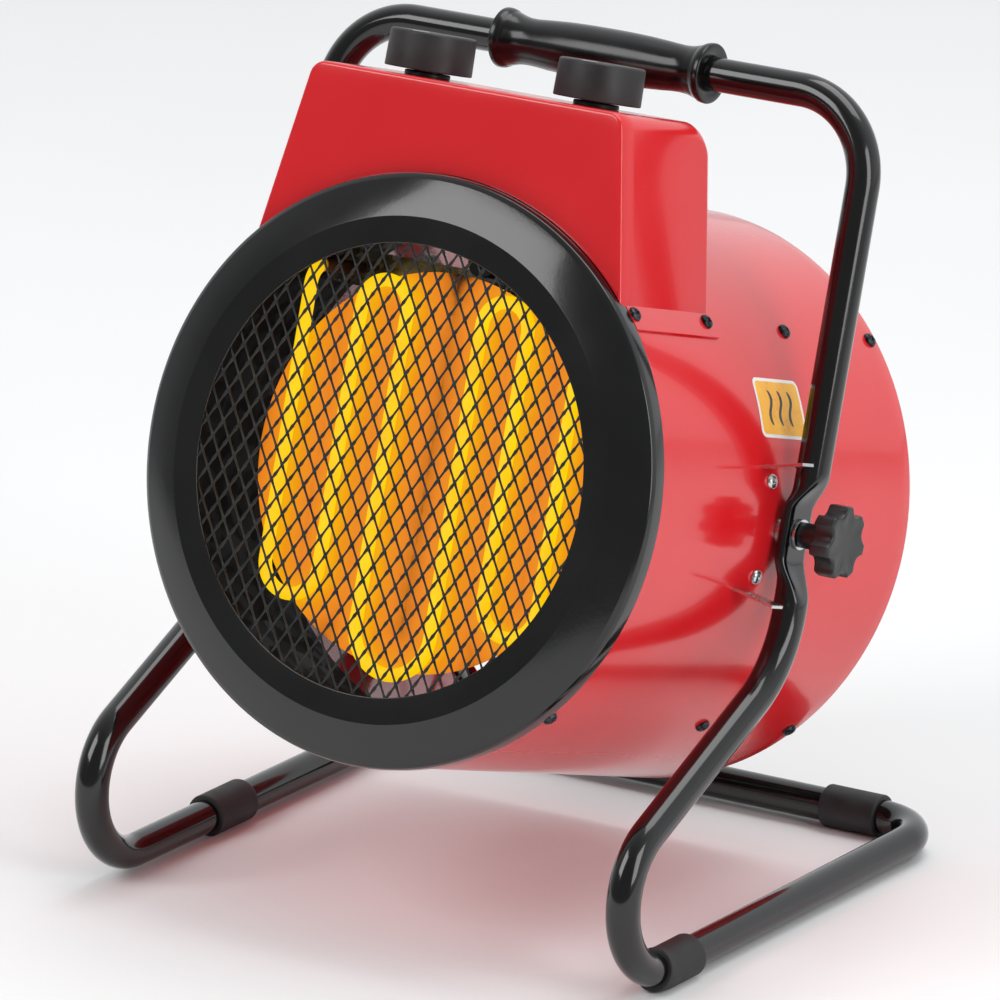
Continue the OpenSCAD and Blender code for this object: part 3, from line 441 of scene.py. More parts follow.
class Bender:
    """A tube bender's log: stations of a path, each with its direction and the two directions across it. a points out
    of the loop of the stand and b completes the frame; a bend turns all three about its axis."""

    def __init__(self, start, direction, outward):
        self.at, self.way, self.a = start, direction, outward
        self.stations, self.length = [self.station(0.0)], 0.0

    def station(self, length):
        """One station: its place, the directions a and b across the path, and its length along the path."""
        return np.concatenate([self.at, self.a, np.cross(self.way, self.a), [length]])

    def straight(self, length, step=400.0):
        """Goes straight on, with a station at least every step."""
        count = max(1, int(math.ceil(length / step)))
        for _ in range(count):
            self.at = self.at + self.way * length / count
            self.length += length / count
            self.stations.append(self.station(self.length))

    def bend(self, axis, radius, angle, steps):
        """Goes round a bend of this radius by an angle about an axis."""
        turn = np.array(Matrix.Rotation(angle / steps, 3, Vector(axis)))
        centre = self.at + np.cross(axis, self.way) * radius * np.sign(angle)
        for _ in range(steps):
            self.at = centre + turn @ (self.at - centre)
            self.way, self.a = turn @ self.way, turn @ self.a
            self.length += radius * abs(angle) / steps
            self.stations.append(self.station(self.length))


def bent_stand():
    """Right half of the stand's centre line, from the handle's middle over the pivot to the middle of the rear bar."""
    tube = Bender(np.array([0.0, HANDLE[1], HANDLE[2]]), X.copy(), TUBE_UP.copy())
    tube.straight(STAND_X - TOP_BEND)
    tube.bend(np.cross(X, -TUBE_UP), TOP_BEND, math.pi / 2, 24)
    above = (tube.at - PIVOT) @ TUBE_UP
    finely = PINCH_UP + 6
    tube.straight(above - finely)
    pivot_length = tube.length + finely
    tube.straight(finely + PINCH_DOWN, 1.0)
    tube.bend(X, KNEE_BEND, -KNEE_TURN, 20)
    tube.straight(LEG_LEN)
    tube.bend(X, FRONT_BEND, math.pi - LEG_ANGLE, 48)
    rail_length = tube.length
    tube.straight(corners("rear_bar")[1][1] - TUBE_R - REAR_BEND - tube.at[1])
    tube.bend(Z, REAR_BEND, math.pi / 2, 24)
    tube.straight(STAND_X - REAR_BEND)
    return np.array(tube.stations), pivot_length, rail_length


STATIONS, PIVOT_LENGTH, RAIL_LENGTH = bent_stand()


def stand_rows(sides=64):
    """Rows of the stand's skin: a circle about the centre line, pressed to a flat stadium about the pivot. The outer
    wall dents earlier than the edges, which leaves a dish with a pointed end above and below the bolt."""
    angle = round_angles(sides)
    circle = TUBE_R * np.stack([np.cos(angle), np.sin(angle)], -1)
    arm = FLAT_W / 2 - FLAT_T / 2
    line = 2 * arm
    cap = math.pi * FLAT_T / 2
    way = np.mod(angle / TAU * 2 * (line + cap) + line / 2, 2 * (line + cap))
    stretches = [way < line, way < line + cap, way < 2 * line + cap]
    cap_r = FLAT_T / 2
    turn = np.select(stretches, [0, (way - line) / cap_r, math.pi], math.pi + (way - 2 * line - cap) / cap_r)
    rise = np.select(stretches, [way - arm, arm, arm - (way - line - cap)], -arm)
    flat = np.stack([np.cos(turn), np.sin(turn)], -1) * FLAT_T / 2 + np.stack([np.zeros(sides), rise], -1)
    flat[:, 0] += FLAT_T / 2 - TUBE_R
    away = STATIONS[:, 9] - PIVOT_LENGTH
    reach = np.where(away < 0, PINCH_UP, PINCH_DOWN)[:, None]
    outer = np.clip(np.cos(angle), 0, 1)[None] ** 2
    starts = FLAT_HALF + (reach - FLAT_HALF) * (0.62 + 0.38 * outer)
    pressed = smooth_step((starts - np.abs(away)[:, None]) / (starts - FLAT_HALF))[..., None]
    section = circle * (1 - pressed) + flat * pressed
    return STATIONS[:, None, :3] + section[..., :1] * STATIONS[:, None, 3:6] + section[..., 1:] * STATIONS[:, None, 6:9]


def mirrored(rows):
    """The same rows on the left, in the order that carries on from the right."""
    return (rows * np.array([-1.0, 1.0, 1.0]))[::-1]


right_rows = stand_rows()
stand_skin = skin(np.concatenate([right_rows, mirrored(right_rows)[1:-1]]), ring=True)
TUBE_NODES = ["handle_tube", "rear_bar"]
for part in ("upright", "pivot_flat", "leg", "knee", "front_bend", "rail"):
    TUBE_NODES += [part + "_left", part + "_right"]
add_piece("stand_tube", [stand_skin], BLACK_COAT, "stand", TUBE_NODES, 60)


def hand_grip():
    """Moulded grip: a turned outline with a belly, two waists and flared ends, plus a thin flash ridge on two sides."""
    low, high = corners("hand_grip")
    half, end_r = (high[0] - low[0]) / 2, (high[2] - low[2]) / 2
    outline = np.array([
        (0, 0.89), (0.2, 0.885), (0.4, 0.86), (0.58, 0.81), (0.7, 0.77), (0.78, 0.775), (0.86, 0.84),
        (0.91, 0.93), (0.95, 1), (0.985, 1), (1, 0.97),
    ])
    share = np.concatenate([np.linspace(0, 0.9, 46), np.linspace(0.91, 0.985, 16)])
    radius = np.interp(share, outline[:, 0], outline[:, 1])
    padded = np.pad(radius, 3, mode="reflect", reflect_type="odd")
    radius = np.convolve(padded, np.ones(7) / 7, "valid")
    right = np.column_stack([np.minimum(radius, 1) * end_r, share * half])
    right = np.concatenate([right, [(end_r * 0.985, half - 0.5), (end_r * 0.955, half - 0.1), (end_r * 0.92, half)]])
    outside = np.concatenate([right[:0:-1] * (1, -1), right])
    bore = [(TUBE_R + 1.2, half), (TUBE_R + 0.1, half - 0.6), (TUBE_R + 0.1, -half + 0.6), (TUBE_R + 1.2, -half)]
    profile = np.concatenate([outside, bore])
    sides = 240
    angle = round_angles(sides)
    flash_w, flash_h, parting = 0.018, 0.16, (math.radians(208), math.radians(28))
    flash = sum(np.exp(-((np.mod(angle - at + math.pi, TAU) - math.pi) / flash_w) ** 2) for at in parting)
    ragged = 1 + 0.5 * np.sin(profile[:, 1] * 0.9) * np.sin(profile[:, 1] * 0.37 + 1)
    ridge = np.where(np.arange(len(profile)) < len(outside), flash_h * ragged, 0)[:, None] * flash
    ridge = ridge * (np.abs(profile[:, 1]) < 0.94 * half)[:, None]
    grip = turned(profile, HANDLE, X, sides, True, ridge)
    add_piece("hand_grip_moulding", [grip], GRIP_PLASTIC, "stand", ["hand_grip"], 40)


def sleeve(stations):
    """A rubber sleeve over a stretch of the tube: a thicker circle, rounded at both mouths, cut flat on the floor."""
    sides, thick, edge = 72, 2.5, 0.9
    angle = round_angles(sides)
    length = stations[:, 9] - stations[0, 9]
    from_end = np.minimum(length, length[-1] - length)
    outer = TUBE_R + thick - edge + np.sqrt(np.clip(edge**2 - np.clip(edge - from_end, 0, edge) ** 2, 0, None))
    radius = np.concatenate([outer, np.full(len(outer), TUBE_R + 0.02)])
    both = np.concatenate([stations, stations[::-1]])
    ring = np.cos(angle)[:, None] * both[:, None, 3:6] + np.sin(angle)[:, None] * both[:, None, 6:9]
    rows = both[:, None, :3] + radius[:, None, None] * ring
    rows[..., 2] = np.maximum(rows[..., 2], 0.0)
    return skin(rows, ring=True)


def stretch(start, end):
    """Stations of the stand's centre line between two lengths, closely spaced at both ends."""
    ease = np.array([0, 0.15, 0.4, 0.9])
    lengths = np.unique(np.concatenate([start + ease, np.arange(start + 2, end - 1, 2.0), end - ease]))
    return np.stack([np.interp(lengths, STATIONS[:, 9], STATIONS[:, k]) for k in range(10)], -1)


def rubber_feet():
    """Sleeves on the front of both rails and on the rear bar."""
    flip = np.array([-1, 1, 1, -1, 1, 1, -1, 1, 1, 1.0])
    left_low, left_high = corners("foot_front_left")
    right_high = corners("foot_front_right")[1]
    rail_start = np.interp(RAIL_LENGTH, STATIONS[:, 9], STATIONS[:, 1])
    front_right = stretch(RAIL_LENGTH - 11, RAIL_LENGTH + right_high[1] - rail_start)
    front_left = stretch(RAIL_LENGTH + left_low[1] - rail_start, RAIL_LENGTH + left_high[1] - rail_start) * flip
    bar_length = STATIONS[-1, 9]
    rear_low, rear_high = STAND_X - REAR_BEND - 34, STAND_X - REAR_BEND
    rear = stretch(bar_length - rear_high, bar_length - rear_low)
    for name, stretches, node in (
        ("front_foot_right", [front_right], "foot_front_right"),
        ("front_foot_left", [front_left], "foot_front_left"),
        ("rear_bar_feet", [rear, rear * flip], "rear_feet"),
    ):
        add_piece(name, [sleeve(part) for part in stretches], RUBBER, "stand", [node], 50)


hand_grip()
rubber_feet()

# ---- drum


def drum():
    """Rolled sheet drum: a thin ring profile with a rolled rear edge, its radius varied by a few hundredths of a
    millimetre in long waves as rolled sheet is."""
    inside = DRUM_R - SHEET
    profile = spaced(rounded([
        (inside, -DRUM_HALF), (DRUM_R, -DRUM_HALF), (DRUM_R, DRUM_HALF), (inside - 3, DRUM_HALF),
        (inside - 3, DRUM_HALF - SHEET), (inside, DRUM_HALF - SHEET),
    ], [0.4, 0.4, 2.2, 0.4, 0.3, 0.9]), 9.0)
    sides = 288
    angle = round_angles(sides)[None]
    s = profile[:, 1:2]
    wave = 0.05 * np.sin(5 * angle + s / 47) + 0.035 * np.sin(9 * angle - s / 31 + 1)
    wave = wave + 0.03 * np.sin(s / 23 + 2 * angle)
    shell = turned(profile, PIVOT, AXIS, sides, True, wave - 0.08)
    add_piece("drum_skin", [shell], RED_COAT, "heater", ["drum_shell"])


def front_ring():
    """Spun ring: a flat band round the opening, a slightly crowned cone and a rim that grips the drum's edge."""
    run, drop, rise = 20, 6.6, 0.5
    cone = [(BAND_R + t * run, BAND_S + t * drop - rise * math.sin(math.pi * t)) for t in (0.25, 0.5, 0.75)]
    profile = rounded(
        [(OPENING_R, BAND_S), (BAND_R, BAND_S)] + cone + [
            (150.9, -138.9), (153.2, -137.4), (RIM_R, -134.8), (RIM_R, RIM_END), (RIM_R - 1, RIM_END),
            (RIM_R - 1, -135.1), (152.0, -136.6), (149.7, -137.9), (BAND_R - 0.2, BAND_S + 1), (OPENING_R, BAND_S + 1),
        ],
        [0.45, 1.5] + [60] * 3 + [2, 2, 3, 0.4, 0.4, 1, 1, 1, 1, 0.45],
    )
    ring = turned(profile, PIVOT, AXIS, 288, True)
    add_piece("spun_front_ring", [ring], RING_COAT, "heater", ["front_ring"], 40)


def expanded_mesh():
    """Expanded metal: two families of slanting strands. A strand's section is a rounded bar that grows wider and
    rises towards each knuckle, where it meets a strand of the other family."""
    wide, tall, reach = 10.0, 16.6, BAND_R - 2
    cell = math.hypot(wide / 2, tall / 2)
    pitch = wide * tall / math.hypot(wide, tall)
    lean = math.atan2(wide, tall)
    section = rounded([(-1, -1), (1, -1), (1, 1), (-1, 1)], 0.6, 1)
    shapes = []
    for side, level in ((1, BAND_S + 1.45), (-1, BAND_S + 1.75)):
        along = np.array([side * math.sin(lean), math.cos(lean)])
        across = np.array([math.cos(lean), -side * math.sin(lean)])
        for i in range(-int((reach - 1.2) / pitch), int((reach - 1.2) / pitch) + 1):
            half = math.sqrt(reach**2 - (abs(i * pitch) + 1) ** 2)
            first = i * pitch * math.tan(math.pi / 2 - 2 * lean)
            place = np.unique(np.concatenate([np.arange(-half, half, cell / 6), [half]]))
            phase = np.mod((place - first) / cell + 0.5, 1) - 0.5
            knuckle = np.exp(-((phase * cell / 1.5) ** 2))
            half_w = 0.55 + 0.42 * knuckle
            half_t = 0.38 + 0.22 * knuckle
            line = along * place[:, None] + across * i * pitch
            flat = line[:, None] + section[None, :, :1] * half_w[:, None, None] * across
            depth = level + section[None, :, 1] * half_t[:, None]
            shapes.append(skin(in_drum(np.stack([flat[..., 0], depth, flat[..., 1]], -1))))
    add_piece("expanded_metal_mesh", shapes, MESH_COAT, "heater", ["front_mesh"], 50)


def element_line():
    """Points (x, z) along the element's glowing runs and turns, about 1.5 mm apart."""
    runs = [(84.0, -58.5, 86.0), (51.0, -58.5, 81.0), (23.0, -83.0, 81.0)]
    turns = [(67.5, -58.5, 16.5, -1), (37.0, 81.0, 14.0, 1)]
    points = []
    for x, low, high in runs:
        z = np.arange(low, high, 1.5)
        points += [np.column_stack([np.full(len(z), x * side), z]) for side in (-1, 1)]
    swing = np.linspace(0, math.pi, 36)
    for x, z, r, up in turns:
        points += [np.column_stack([side * (x + r * np.cos(swing)), z + up * r * np.sin(swing)]) for side in (-1, 1)]
    points.append(np.column_stack([23 * np.cos(swing), -83 - 23 * np.sin(swing)]))
    return np.concatenate(points)


def reflector():
    """Round plate behind the element with two tabs. Each point keeps its nearness to the element's line: 1 on it, and
    0 from the light's reach on. The nearness sets where the element's light is painted on the plate as glow."""
    plate_r, front, back = 104.0, ELEMENT_S + 8.4, ELEMENT_S + 9.2
    radius = np.concatenate([np.linspace(0.6, plate_r - 0.3, 104), [plate_r, plate_r, plate_r - 0.3, 0.6]])
    depth = np.concatenate([np.full(104, front), [front + 0.2, back - 0.2, back, back]])
    plate = turned(np.column_stack([radius, depth]), PIVOT, AXIS, 256)
    tabs = [block((side * 34 - 6, back, 92.3), (side * 34 + 6, -70, 93.1), 0.2) for side in (-1, 1)]
    # the plate carries the element's light painted on as glow
    made = add_piece("reflector_disc", [plate] + tabs, ELEMENT_GLOW_PAINT, "heater", ["reflector_plate"])
    points = np.concatenate([plate[0]] + [tab[0] for tab in tabs]) - PIVOT
    flat = np.stack([points @ X, points @ DRUM_UP], -1)
    near, light_reach = np.full(len(flat), 1e9), 30
    for part in np.array_split(element_line(), 12):
        near = np.minimum(near, np.hypot(*(flat[:, None] - part[None]).transpose(2, 0, 1)).min(1))
    # painted light: nearness to the element sets the strength of the painted glow
    nearness = np.clip(1 - near / light_reach, 0, 1) * ((points @ AXIS) < front + 0.3)
    made.data.attributes.new("nearness", "FLOAT", "POINT").data.foreach_set("value", nearness.astype(np.float32))


drum()
front_ring()
expanded_mesh()
reflector()

# ---- control box


def box_side(top, inset):
    """Right half of the box's front view, from the drum up over the rounded shoulder to the middle of the top, as
    points (x, z); top is the height there, and inset moves the outline in."""
    slope = math.tan(BOX_SLOPE)
    line = BOX_HALF + BOX_TOP * slope - inset / math.cos(BOX_SLOPE)
    foot_r = DRUM_R + 0.3
    a, b, c = 1 + slope**2, -2 * line * slope, line**2 - foot_r**2
    foot_z = (-b + math.sqrt(b * b - 4 * a * c)) / (2 * a)
    foot = np.array([line - foot_z * slope, foot_z])
    r = max(BOX_CORNER - inset, 0.5)
    high = top - inset
    centre = np.array([line - (high - r) * slope - r / math.cos(BOX_SLOPE), high - r])
    shoulder = centre + r * np.array([math.cos(BOX_SLOPE), math.sin(BOX_SLOPE)])
    rise = foot + (shoulder - foot) * np.linspace(0, 1, 14, endpoint=False)[:, None]
    swing = np.linspace(BOX_SLOPE, math.pi / 2, 8, endpoint=False)
    bend = centre + r * np.stack([np.cos(swing), np.sin(swing)], -1)
    across = np.column_stack([np.linspace(centre[0], 0, 16), np.full(16, high)])
    return np.concatenate([rise, bend, across])


def whole(half):
    """Both halves of the front view, from the right foot over the top to the left foot."""
    return np.concatenate([half, half[-2::-1] * (-1, 1)])


def at_depth(outline, s):
    """Points (x, s, z) of a front view's outline (x, z) at one place along the drum."""
    return np.column_stack([outline[:, 0], np.full(len(outline), s), outline[:, 1]])


def arc_below(outline, radius):
    """For each point of an outline, the point of the drum's circle below it, spread evenly between the two feet."""
    first, last = (math.atan2(outline[i, 1], outline[i, 0]) for i in (0, -1))
    angle = np.interp(np.linspace(0, 1, len(outline)), [0, 1], [first, last])
    return np.column_stack([radius * np.cos(angle), radius * np.sin(angle)])


def control_panel():
    """Front plate of the box: a flat face with its outer edge rolled back, down to the arc over the front ring."""
    front, roll = -DRUM_HALF, 1.9
    rows = []
    for share in np.linspace(0, math.pi / 2, 6):
        outline = whole(box_side(BOX_TOP, 0.15 + roll * (1 - math.sin(share))))
        rows.append(at_depth(outline, front + roll * (1 - math.cos(share))))
    rows = rows[::-1]
    face = rows[-1]
    arc = at_depth(arc_below(face[:, ::2], RIM_R + 0.35), front)
    rows += [face + (arc - face) * share for share in np.linspace(0.12, 1, 9)]
    back = [row + np.array([0, SHEET, 0]) for row in rows[:5:-1]]
    edge = whole(box_side(BOX_TOP, 1.2))
    outside = np.array([at_depth(edge, front + 2.6)] + rows + back)
    plate = skin(in_drum(outside.transpose(1, 0, 2)))
    add_piece("control_panel_plate", [plate], RED_COAT, "heater", ["control_panel"])


def control_cover():
    """Wrap-round cover of the box: the front view carried back, lowered along a quarter circle at the top rear edge and
    closed by the rear wall, with two flanges that lie on the drum."""
    start, side_r = -DRUM_HALF + 1.75, 2.2
    level = np.linspace(start + 0.5, BOX_BACK - BOX_REAR_ROUND, 8)
    swing = np.linspace(0, math.pi / 2, 14)
    front_edge = ((1.3, start + 0.9), (0.9, start), (0.35, start))
    rows = [at_depth(whole(box_side(BOX_TOP, inset)), s) for inset, s in front_edge]
    rows += [at_depth(whole(box_side(BOX_TOP, 0.0)), s) for s in level]
    for angle in swing[1:]:
        drop = BOX_REAR_ROUND * (1 - math.cos(angle))
        s = BOX_BACK - BOX_REAR_ROUND + BOX_REAR_ROUND * math.sin(angle)
        edge = max(0.0, s - (BOX_BACK - side_r))
        side_in = side_r - math.sqrt(max(side_r**2 - edge**2, 0.0))
        outline = whole(box_side(BOX_TOP - drop + side_in, side_in))
        rows.append(at_depth(outline, s))
    rear = rows[-1]
    arc = at_depth(arc_below(rear[:, ::2], DRUM_R + 0.3), BOX_BACK)
    rows += [rear + (arc - rear) * share for share in np.linspace(0.1, 1, 10)]
    rows += [row - np.array([0, SHEET, 0]) for row in rows[-1:-9:-1]]
    shapes = [skin(in_drum(np.array(rows).transpose(1, 0, 2)))]
    s = np.array([RIM_END + 0.3, RIM_END + 0.6, BOX_BACK - 0.3, BOX_BACK])[:, None]
    angle = np.radians(np.linspace(37.7, 43.4, 14))
    angle = np.concatenate([angle, angle[::-1]])[None]
    lift = np.repeat([0.25, 0.25 + SHEET], 14)[None]
    shapes += [skin(on_drum(way, s, DRUM_R + lift)) for way in (angle, math.pi - angle)]
    add_piece("control_box_cover", shapes, RED_COAT, "heater", ["control_cover"])


def dial(name, joint, body, node):
    """Control dial on its joint's axis: a turned cap with a softly rounded top edge and a recess below, and an index
    line let into its top."""
    x = JOINTS[joint]["pos_m"][0] / MM
    centre = (BOX_BACK - DRUM_HALF) / 2
    radius, wall, low, high = 23.0, 2.5, BOX_TOP + 3, BOX_TOP + 23
    outline = [(0.4, low + 10), (7, low + 10), (radius - wall, low + 10), (radius - wall, low)]
    outline += [(radius, low), (radius - 0.4, high), (0.2, high)]
    cap = turned(rounded(outline, [0, 0, 0.8, 0.5, 0.7, 1.6, 0], 6), in_drum([x, centre, 0]), DRUM_UP, 160)
    add_piece(name, [cap], DIAL_PLASTIC, body, [node], 40)
    line = block((x - 0.8, centre - 20, high - 0.2), (x + 0.8, centre - 6, high + 0.12), 0.1)
    add_piece(name + "_index", [line], VINYL_WHITE, body)


def bezel_nuts():
    """Round black nuts under the dials, with a rounded rim."""
    bore, rim, low, high = 5.1, 12, BOX_TOP + 0.1, BOX_TOP + 2.4
    outline = rounded([(bore, low), (rim, low), (rim, high), (bore, high)], [0, 0.2, 0.7, 0.3])
    shapes = []
    for joint in ("thermostat_turn", "selector_turn"):
        x = JOINTS[joint]["pos_m"][0] / MM
        shapes.append(turned(outline, in_drum([x, (BOX_BACK - DRUM_HALF) / 2, 0]), DRUM_UP, 96, True))
    add_piece("dial_bezel_nuts", shapes, DIAL_PLASTIC, "heater", ["bush_nuts"], 40)


control_panel()
control_cover()
dial("thermostat_dial_cap", "thermostat_turn", "thermostat_dial", "thermostat_knob")
dial("selector_dial_cap", "selector_turn", "selector_dial", "selector_knob")
bezel_nuts()

# ---- screws


def pan_head(origin, outward, spin):
    """Pan head with a cross recess: height over the seat is a flat dome with a rounded shoulder, less the recess where
    a point is near one of two crossed lines. The shank is hidden in the sheet."""
    radius, height, sides = 4.0, 2.4, 64
    slot_half, slot_reach, slot_deep = 0.62, 2.1, 0.9
    ring = np.concatenate([[0.12], np.linspace(0.3, 2.3, 11), [2.6, 3.0, 3.4, 3.7, 3.9, radius, radius]])
    angle = round_angles(sides)
    share = ring / radius
    dome = height * (1 - 0.22 * share**2) * np.sqrt(np.clip(1 - share**8, 0, 1))
    dome[-2:] = (0.25 * height, 0.0)
    x, y = ring[:, None] * np.cos(angle), ring[:, None] * np.sin(angle)
    near = np.minimum(np.abs(x), np.abs(y))
    far = np.maximum(np.abs(x), np.abs(y))
    slot = smooth_step((slot_half - near) / 0.25) * smooth_step((slot_reach - far) / 0.3)
    lift = dome[:, None] - slot * slot_deep * (1 - 0.25 * share[:, None])
    outward = np.asarray(outward, float)
    across = np.cross(outward, X if abs(outward[0]) < 0.9 else Z)
    across /= np.linalg.norm(across)
    other = np.cross(outward, across)
    turn = angle + spin
    direction = np.cos(turn)[:, None] * across + np.sin(turn)[:, None] * other
    rows = np.asarray(origin) + ring[:, None, None] * direction + lift[..., None] * outward
    return skin(rows)


def drum_heads():
    """Black screws of the drum and zinc screws of the pivot brackets, each turned to its own angle."""
    upper, lower, end_s, flange_top, coat_top = (41, 139), (-46, -134), 122, 1.45, 0.05
    seats = [(a, s, flange_top) for a in upper for s in (-end_s, -50)]
    seats += [(a, -end_s, coat_top) for a in lower]
    seats += [(a, s, coat_top) for s in (32, end_s) for a in upper + lower]
    at_brackets = [(a, -16, coat_top) for a in (9.4, -9.4, 170.6, 189.4)]
    for name, places, finish, slot, node in (
        ("drum_screw_heads", seats, BLACK_SCREW, "black_screw", "drum_screws"),
        ("bracket_screw_heads", at_brackets, ZINC, "zinc_plate", "bracket_screws"),
    ):
        heads = []
        for i, (degrees, s, lift) in enumerate(places):
            angle = math.radians(degrees)
            outward = math.cos(angle) * X + math.sin(angle) * DRUM_UP
            heads.append(pan_head(on_drum(angle, s, DRUM_R + lift), outward, spin=0.4 + 2.1 * i))
        add_piece(name, heads, finish, "heater", [node], 30)


drum_heads()

# ---- pivots


def star_knob(side, body, node):
    """Star knob: a round boss, a neck and a head whose outline is a circle softly cut by seven round valleys; the
    outline shrinks along a quarter circle at both faces."""
    sides, star_r, cut_r, cut_at, lobes = 336, 19.2, 7.0, 22.6, 7
    head, face = 180.0, 192.0
    angle = round_angles(sides)
    off = np.mod(angle * lobes + math.pi, TAU) / lobes - math.pi / lobes
    inside = np.clip(cut_r**2 - (cut_at * np.sin(off)) ** 2, 0, None)
    valley = np.where(inside > 0, cut_at * np.cos(off) - np.sqrt(inside), 40.0)
    outline = -np.log(np.exp(-1.6 * star_r) + np.exp(-1.6 * valley)) / 1.6
    outline *= star_r / outline.max()
    edge = 1.7
    rows, places = [], []
    for x, radius in ((165.2, 6.3), (165.6, 6.7), (172.0, 6.8), (178.5, 7.2), (179.6, 8.2), (head, 10.0)):
        rows.append(np.full(sides, radius))
        places.append(x)
    for share in np.linspace(0, math.pi / 2, 6):
        rows.append(outline - edge * (1 - math.sin(share)))
        places.append(head + edge * (1 - math.cos(share)))
    for share in np.linspace(0, math.pi / 2, 7):
        rows.append(outline - edge * (1 - math.cos(share)))
        places.append(face - edge * (1 - math.sin(share)))
    rows += [(outline - edge) * 0.82, (outline - edge) * 0.5, np.full(sides, 1.0)]
    places += [face - 0.25, face - 0.6, face - 0.6]
    radius, x = np.array(rows), np.array(places)
    along = np.broadcast_to(x[:, None], radius.shape) * side
    points = np.stack([along, radius * np.cos(angle + 0.3), radius * np.sin(angle + 0.3)], -1)
    name = "star_knob_moulding_" + ("right" if side > 0 else "left")
    add_piece(name, [skin(in_drum(points))], STAR_PLASTIC, body, [node], 50)


star_knob(1, "star_right", "star_knob_right")
star_knob(-1, "star_left", "star_knob_left")

# ---- rear: guard, fan and motor


def wire_ring(radius, s, wire_r):
    """A ring of round wire about the drum's axis."""
    swing = round_angles(10)
    section = np.column_stack([radius + wire_r * np.cos(swing), s + wire_r * np.sin(swing)])
    return turned(section, PIVOT, AXIS, 180, True)


def rear_guard():
    """Welded wire guard: concentric rings on eight spokes, held in a hoop inside the drum."""
    wire_r, spoke_r, pitch, s, spokes = 1.1, 1.4, 13.5, 127.0, 8
    spoke = np.array([13.0, 150.6])[:, None, None]
    spoke_s = np.array([0, s - 1.9, 0])
    shapes = [wire_ring(pitch * i + 1, s, wire_r) for i in range(1, 11)]
    swing = round_angles(10)
    for i in range(spokes):
        way = math.radians(360 / spokes * i)
        out = np.array([math.cos(way), 0, math.sin(way)])
        side = np.array([-math.sin(way), 0, math.cos(way)])
        wire = np.cos(swing)[:, None] * side + np.sin(swing)[:, None] * np.array([0, 1.0, 0])
        shapes.append(skin(in_drum(spoke * out + spoke_s + spoke_r * wire[None])))
    hoop = rounded([(150.2, 112), (151.4, 112), (151.4, 128), (150.2, 128)], 0.3, 2)
    shapes.append(turned(hoop, PIVOT, AXIS, 240, True))
    add_piece("welded_wire_guard", shapes, BLACK_COAT, "heater", ["rear_guard"], 50)


def fan():
    """Axial fan: a domed hub and five blades. A blade's section is a thin cambered lens; its pitch falls from root to
    tip and its corners are rounded."""
    shapes = [turned(rounded([(0.5, -14), (20, -14), (20, 12), (0.5, 12)], [0, 5, 1.5, 0], 5), PIVOT, AXIS, 96)]
    radius = np.concatenate([np.linspace(17, 108, 18), [112, 115, 117, FAN_R - 0.3]])
    chord = np.interp(radius, [17, 40, 75, 108, 112, 115, 117, FAN_R], [30, 40, 50, 50, 47, 42, 34, 18])
    pitch = np.radians(np.interp(radius, [17, FAN_R], [38, 24]))
    part = np.concatenate([np.linspace(-1, 1, 15), np.linspace(1, -1, 15)[1:-1]])
    upper = np.concatenate([np.ones(15), -np.ones(13)])
    lens = 0.85 * np.sqrt(np.clip(1.02 - part**4, 0, 1)) * upper
    along = chord[:, None] / 2 * part[None]
    camber = 4.0 * (1 - part[None] ** 2) * chord[:, None] / 50 + lens[None]
    sideways = along * np.cos(pitch)[:, None] - camber * np.sin(pitch)[:, None]
    axial = -along * np.sin(pitch)[:, None] - camber * np.cos(pitch)[:, None] + 1
    outward = np.sqrt(np.clip(radius[:, None] ** 2 - sideways**2, 1, None))
    for i in range(5):
        way = math.radians(90 + 72 * i)
        x = outward * math.cos(way) - sideways * math.sin(way)
        z = outward * math.sin(way) + sideways * math.cos(way)
        shapes.append(skin(in_drum(np.stack([x, axial, z], -1))))
    add_piece("fan_moulding", shapes, DARK_NYLON, "fan", ["fan_blades"], 40)


def motor():
    """Shaded-pole motor: two pressed bells with a rounded rim and a stack of laminations between them, read as fine
    grooves."""
    front, r = 39.0, 36.0
    stack = [(r - (0.45 if i % 2 else 0.0), front + 17 + i * 1.1) for i in range(20)]
    profile = rounded([(4.5, front), (r - 1.2, front), (r - 1.2, front + 16)], [0, 4, 0.5], 5).tolist()
    profile += stack
    rear_bell = [(r - 1.2, front + 39.5), (r - 1.2, front + 56)]
    rear_bell += [(14.4, front + 56), (14.4, front + 59), (0.5, front + 59)]
    profile += rounded(rear_bell, [0.5, 5, 0.8, 1.2, 0], 5).tolist()
    add_piece("motor_housing", [turned(profile, PIVOT, AXIS, 128)], STEEL, "heater", ["fan_motor"], 30)


rear_guard()
fan()
motor()

# ---- label


def on_label(across, up, lift):
    """A point of the label on the drum's right side: across along the axis, up round it and lift above the coat."""
    angle = math.radians(24.0) + up / DRUM_R
    return on_drum(angle, across, DRUM_R + lift)


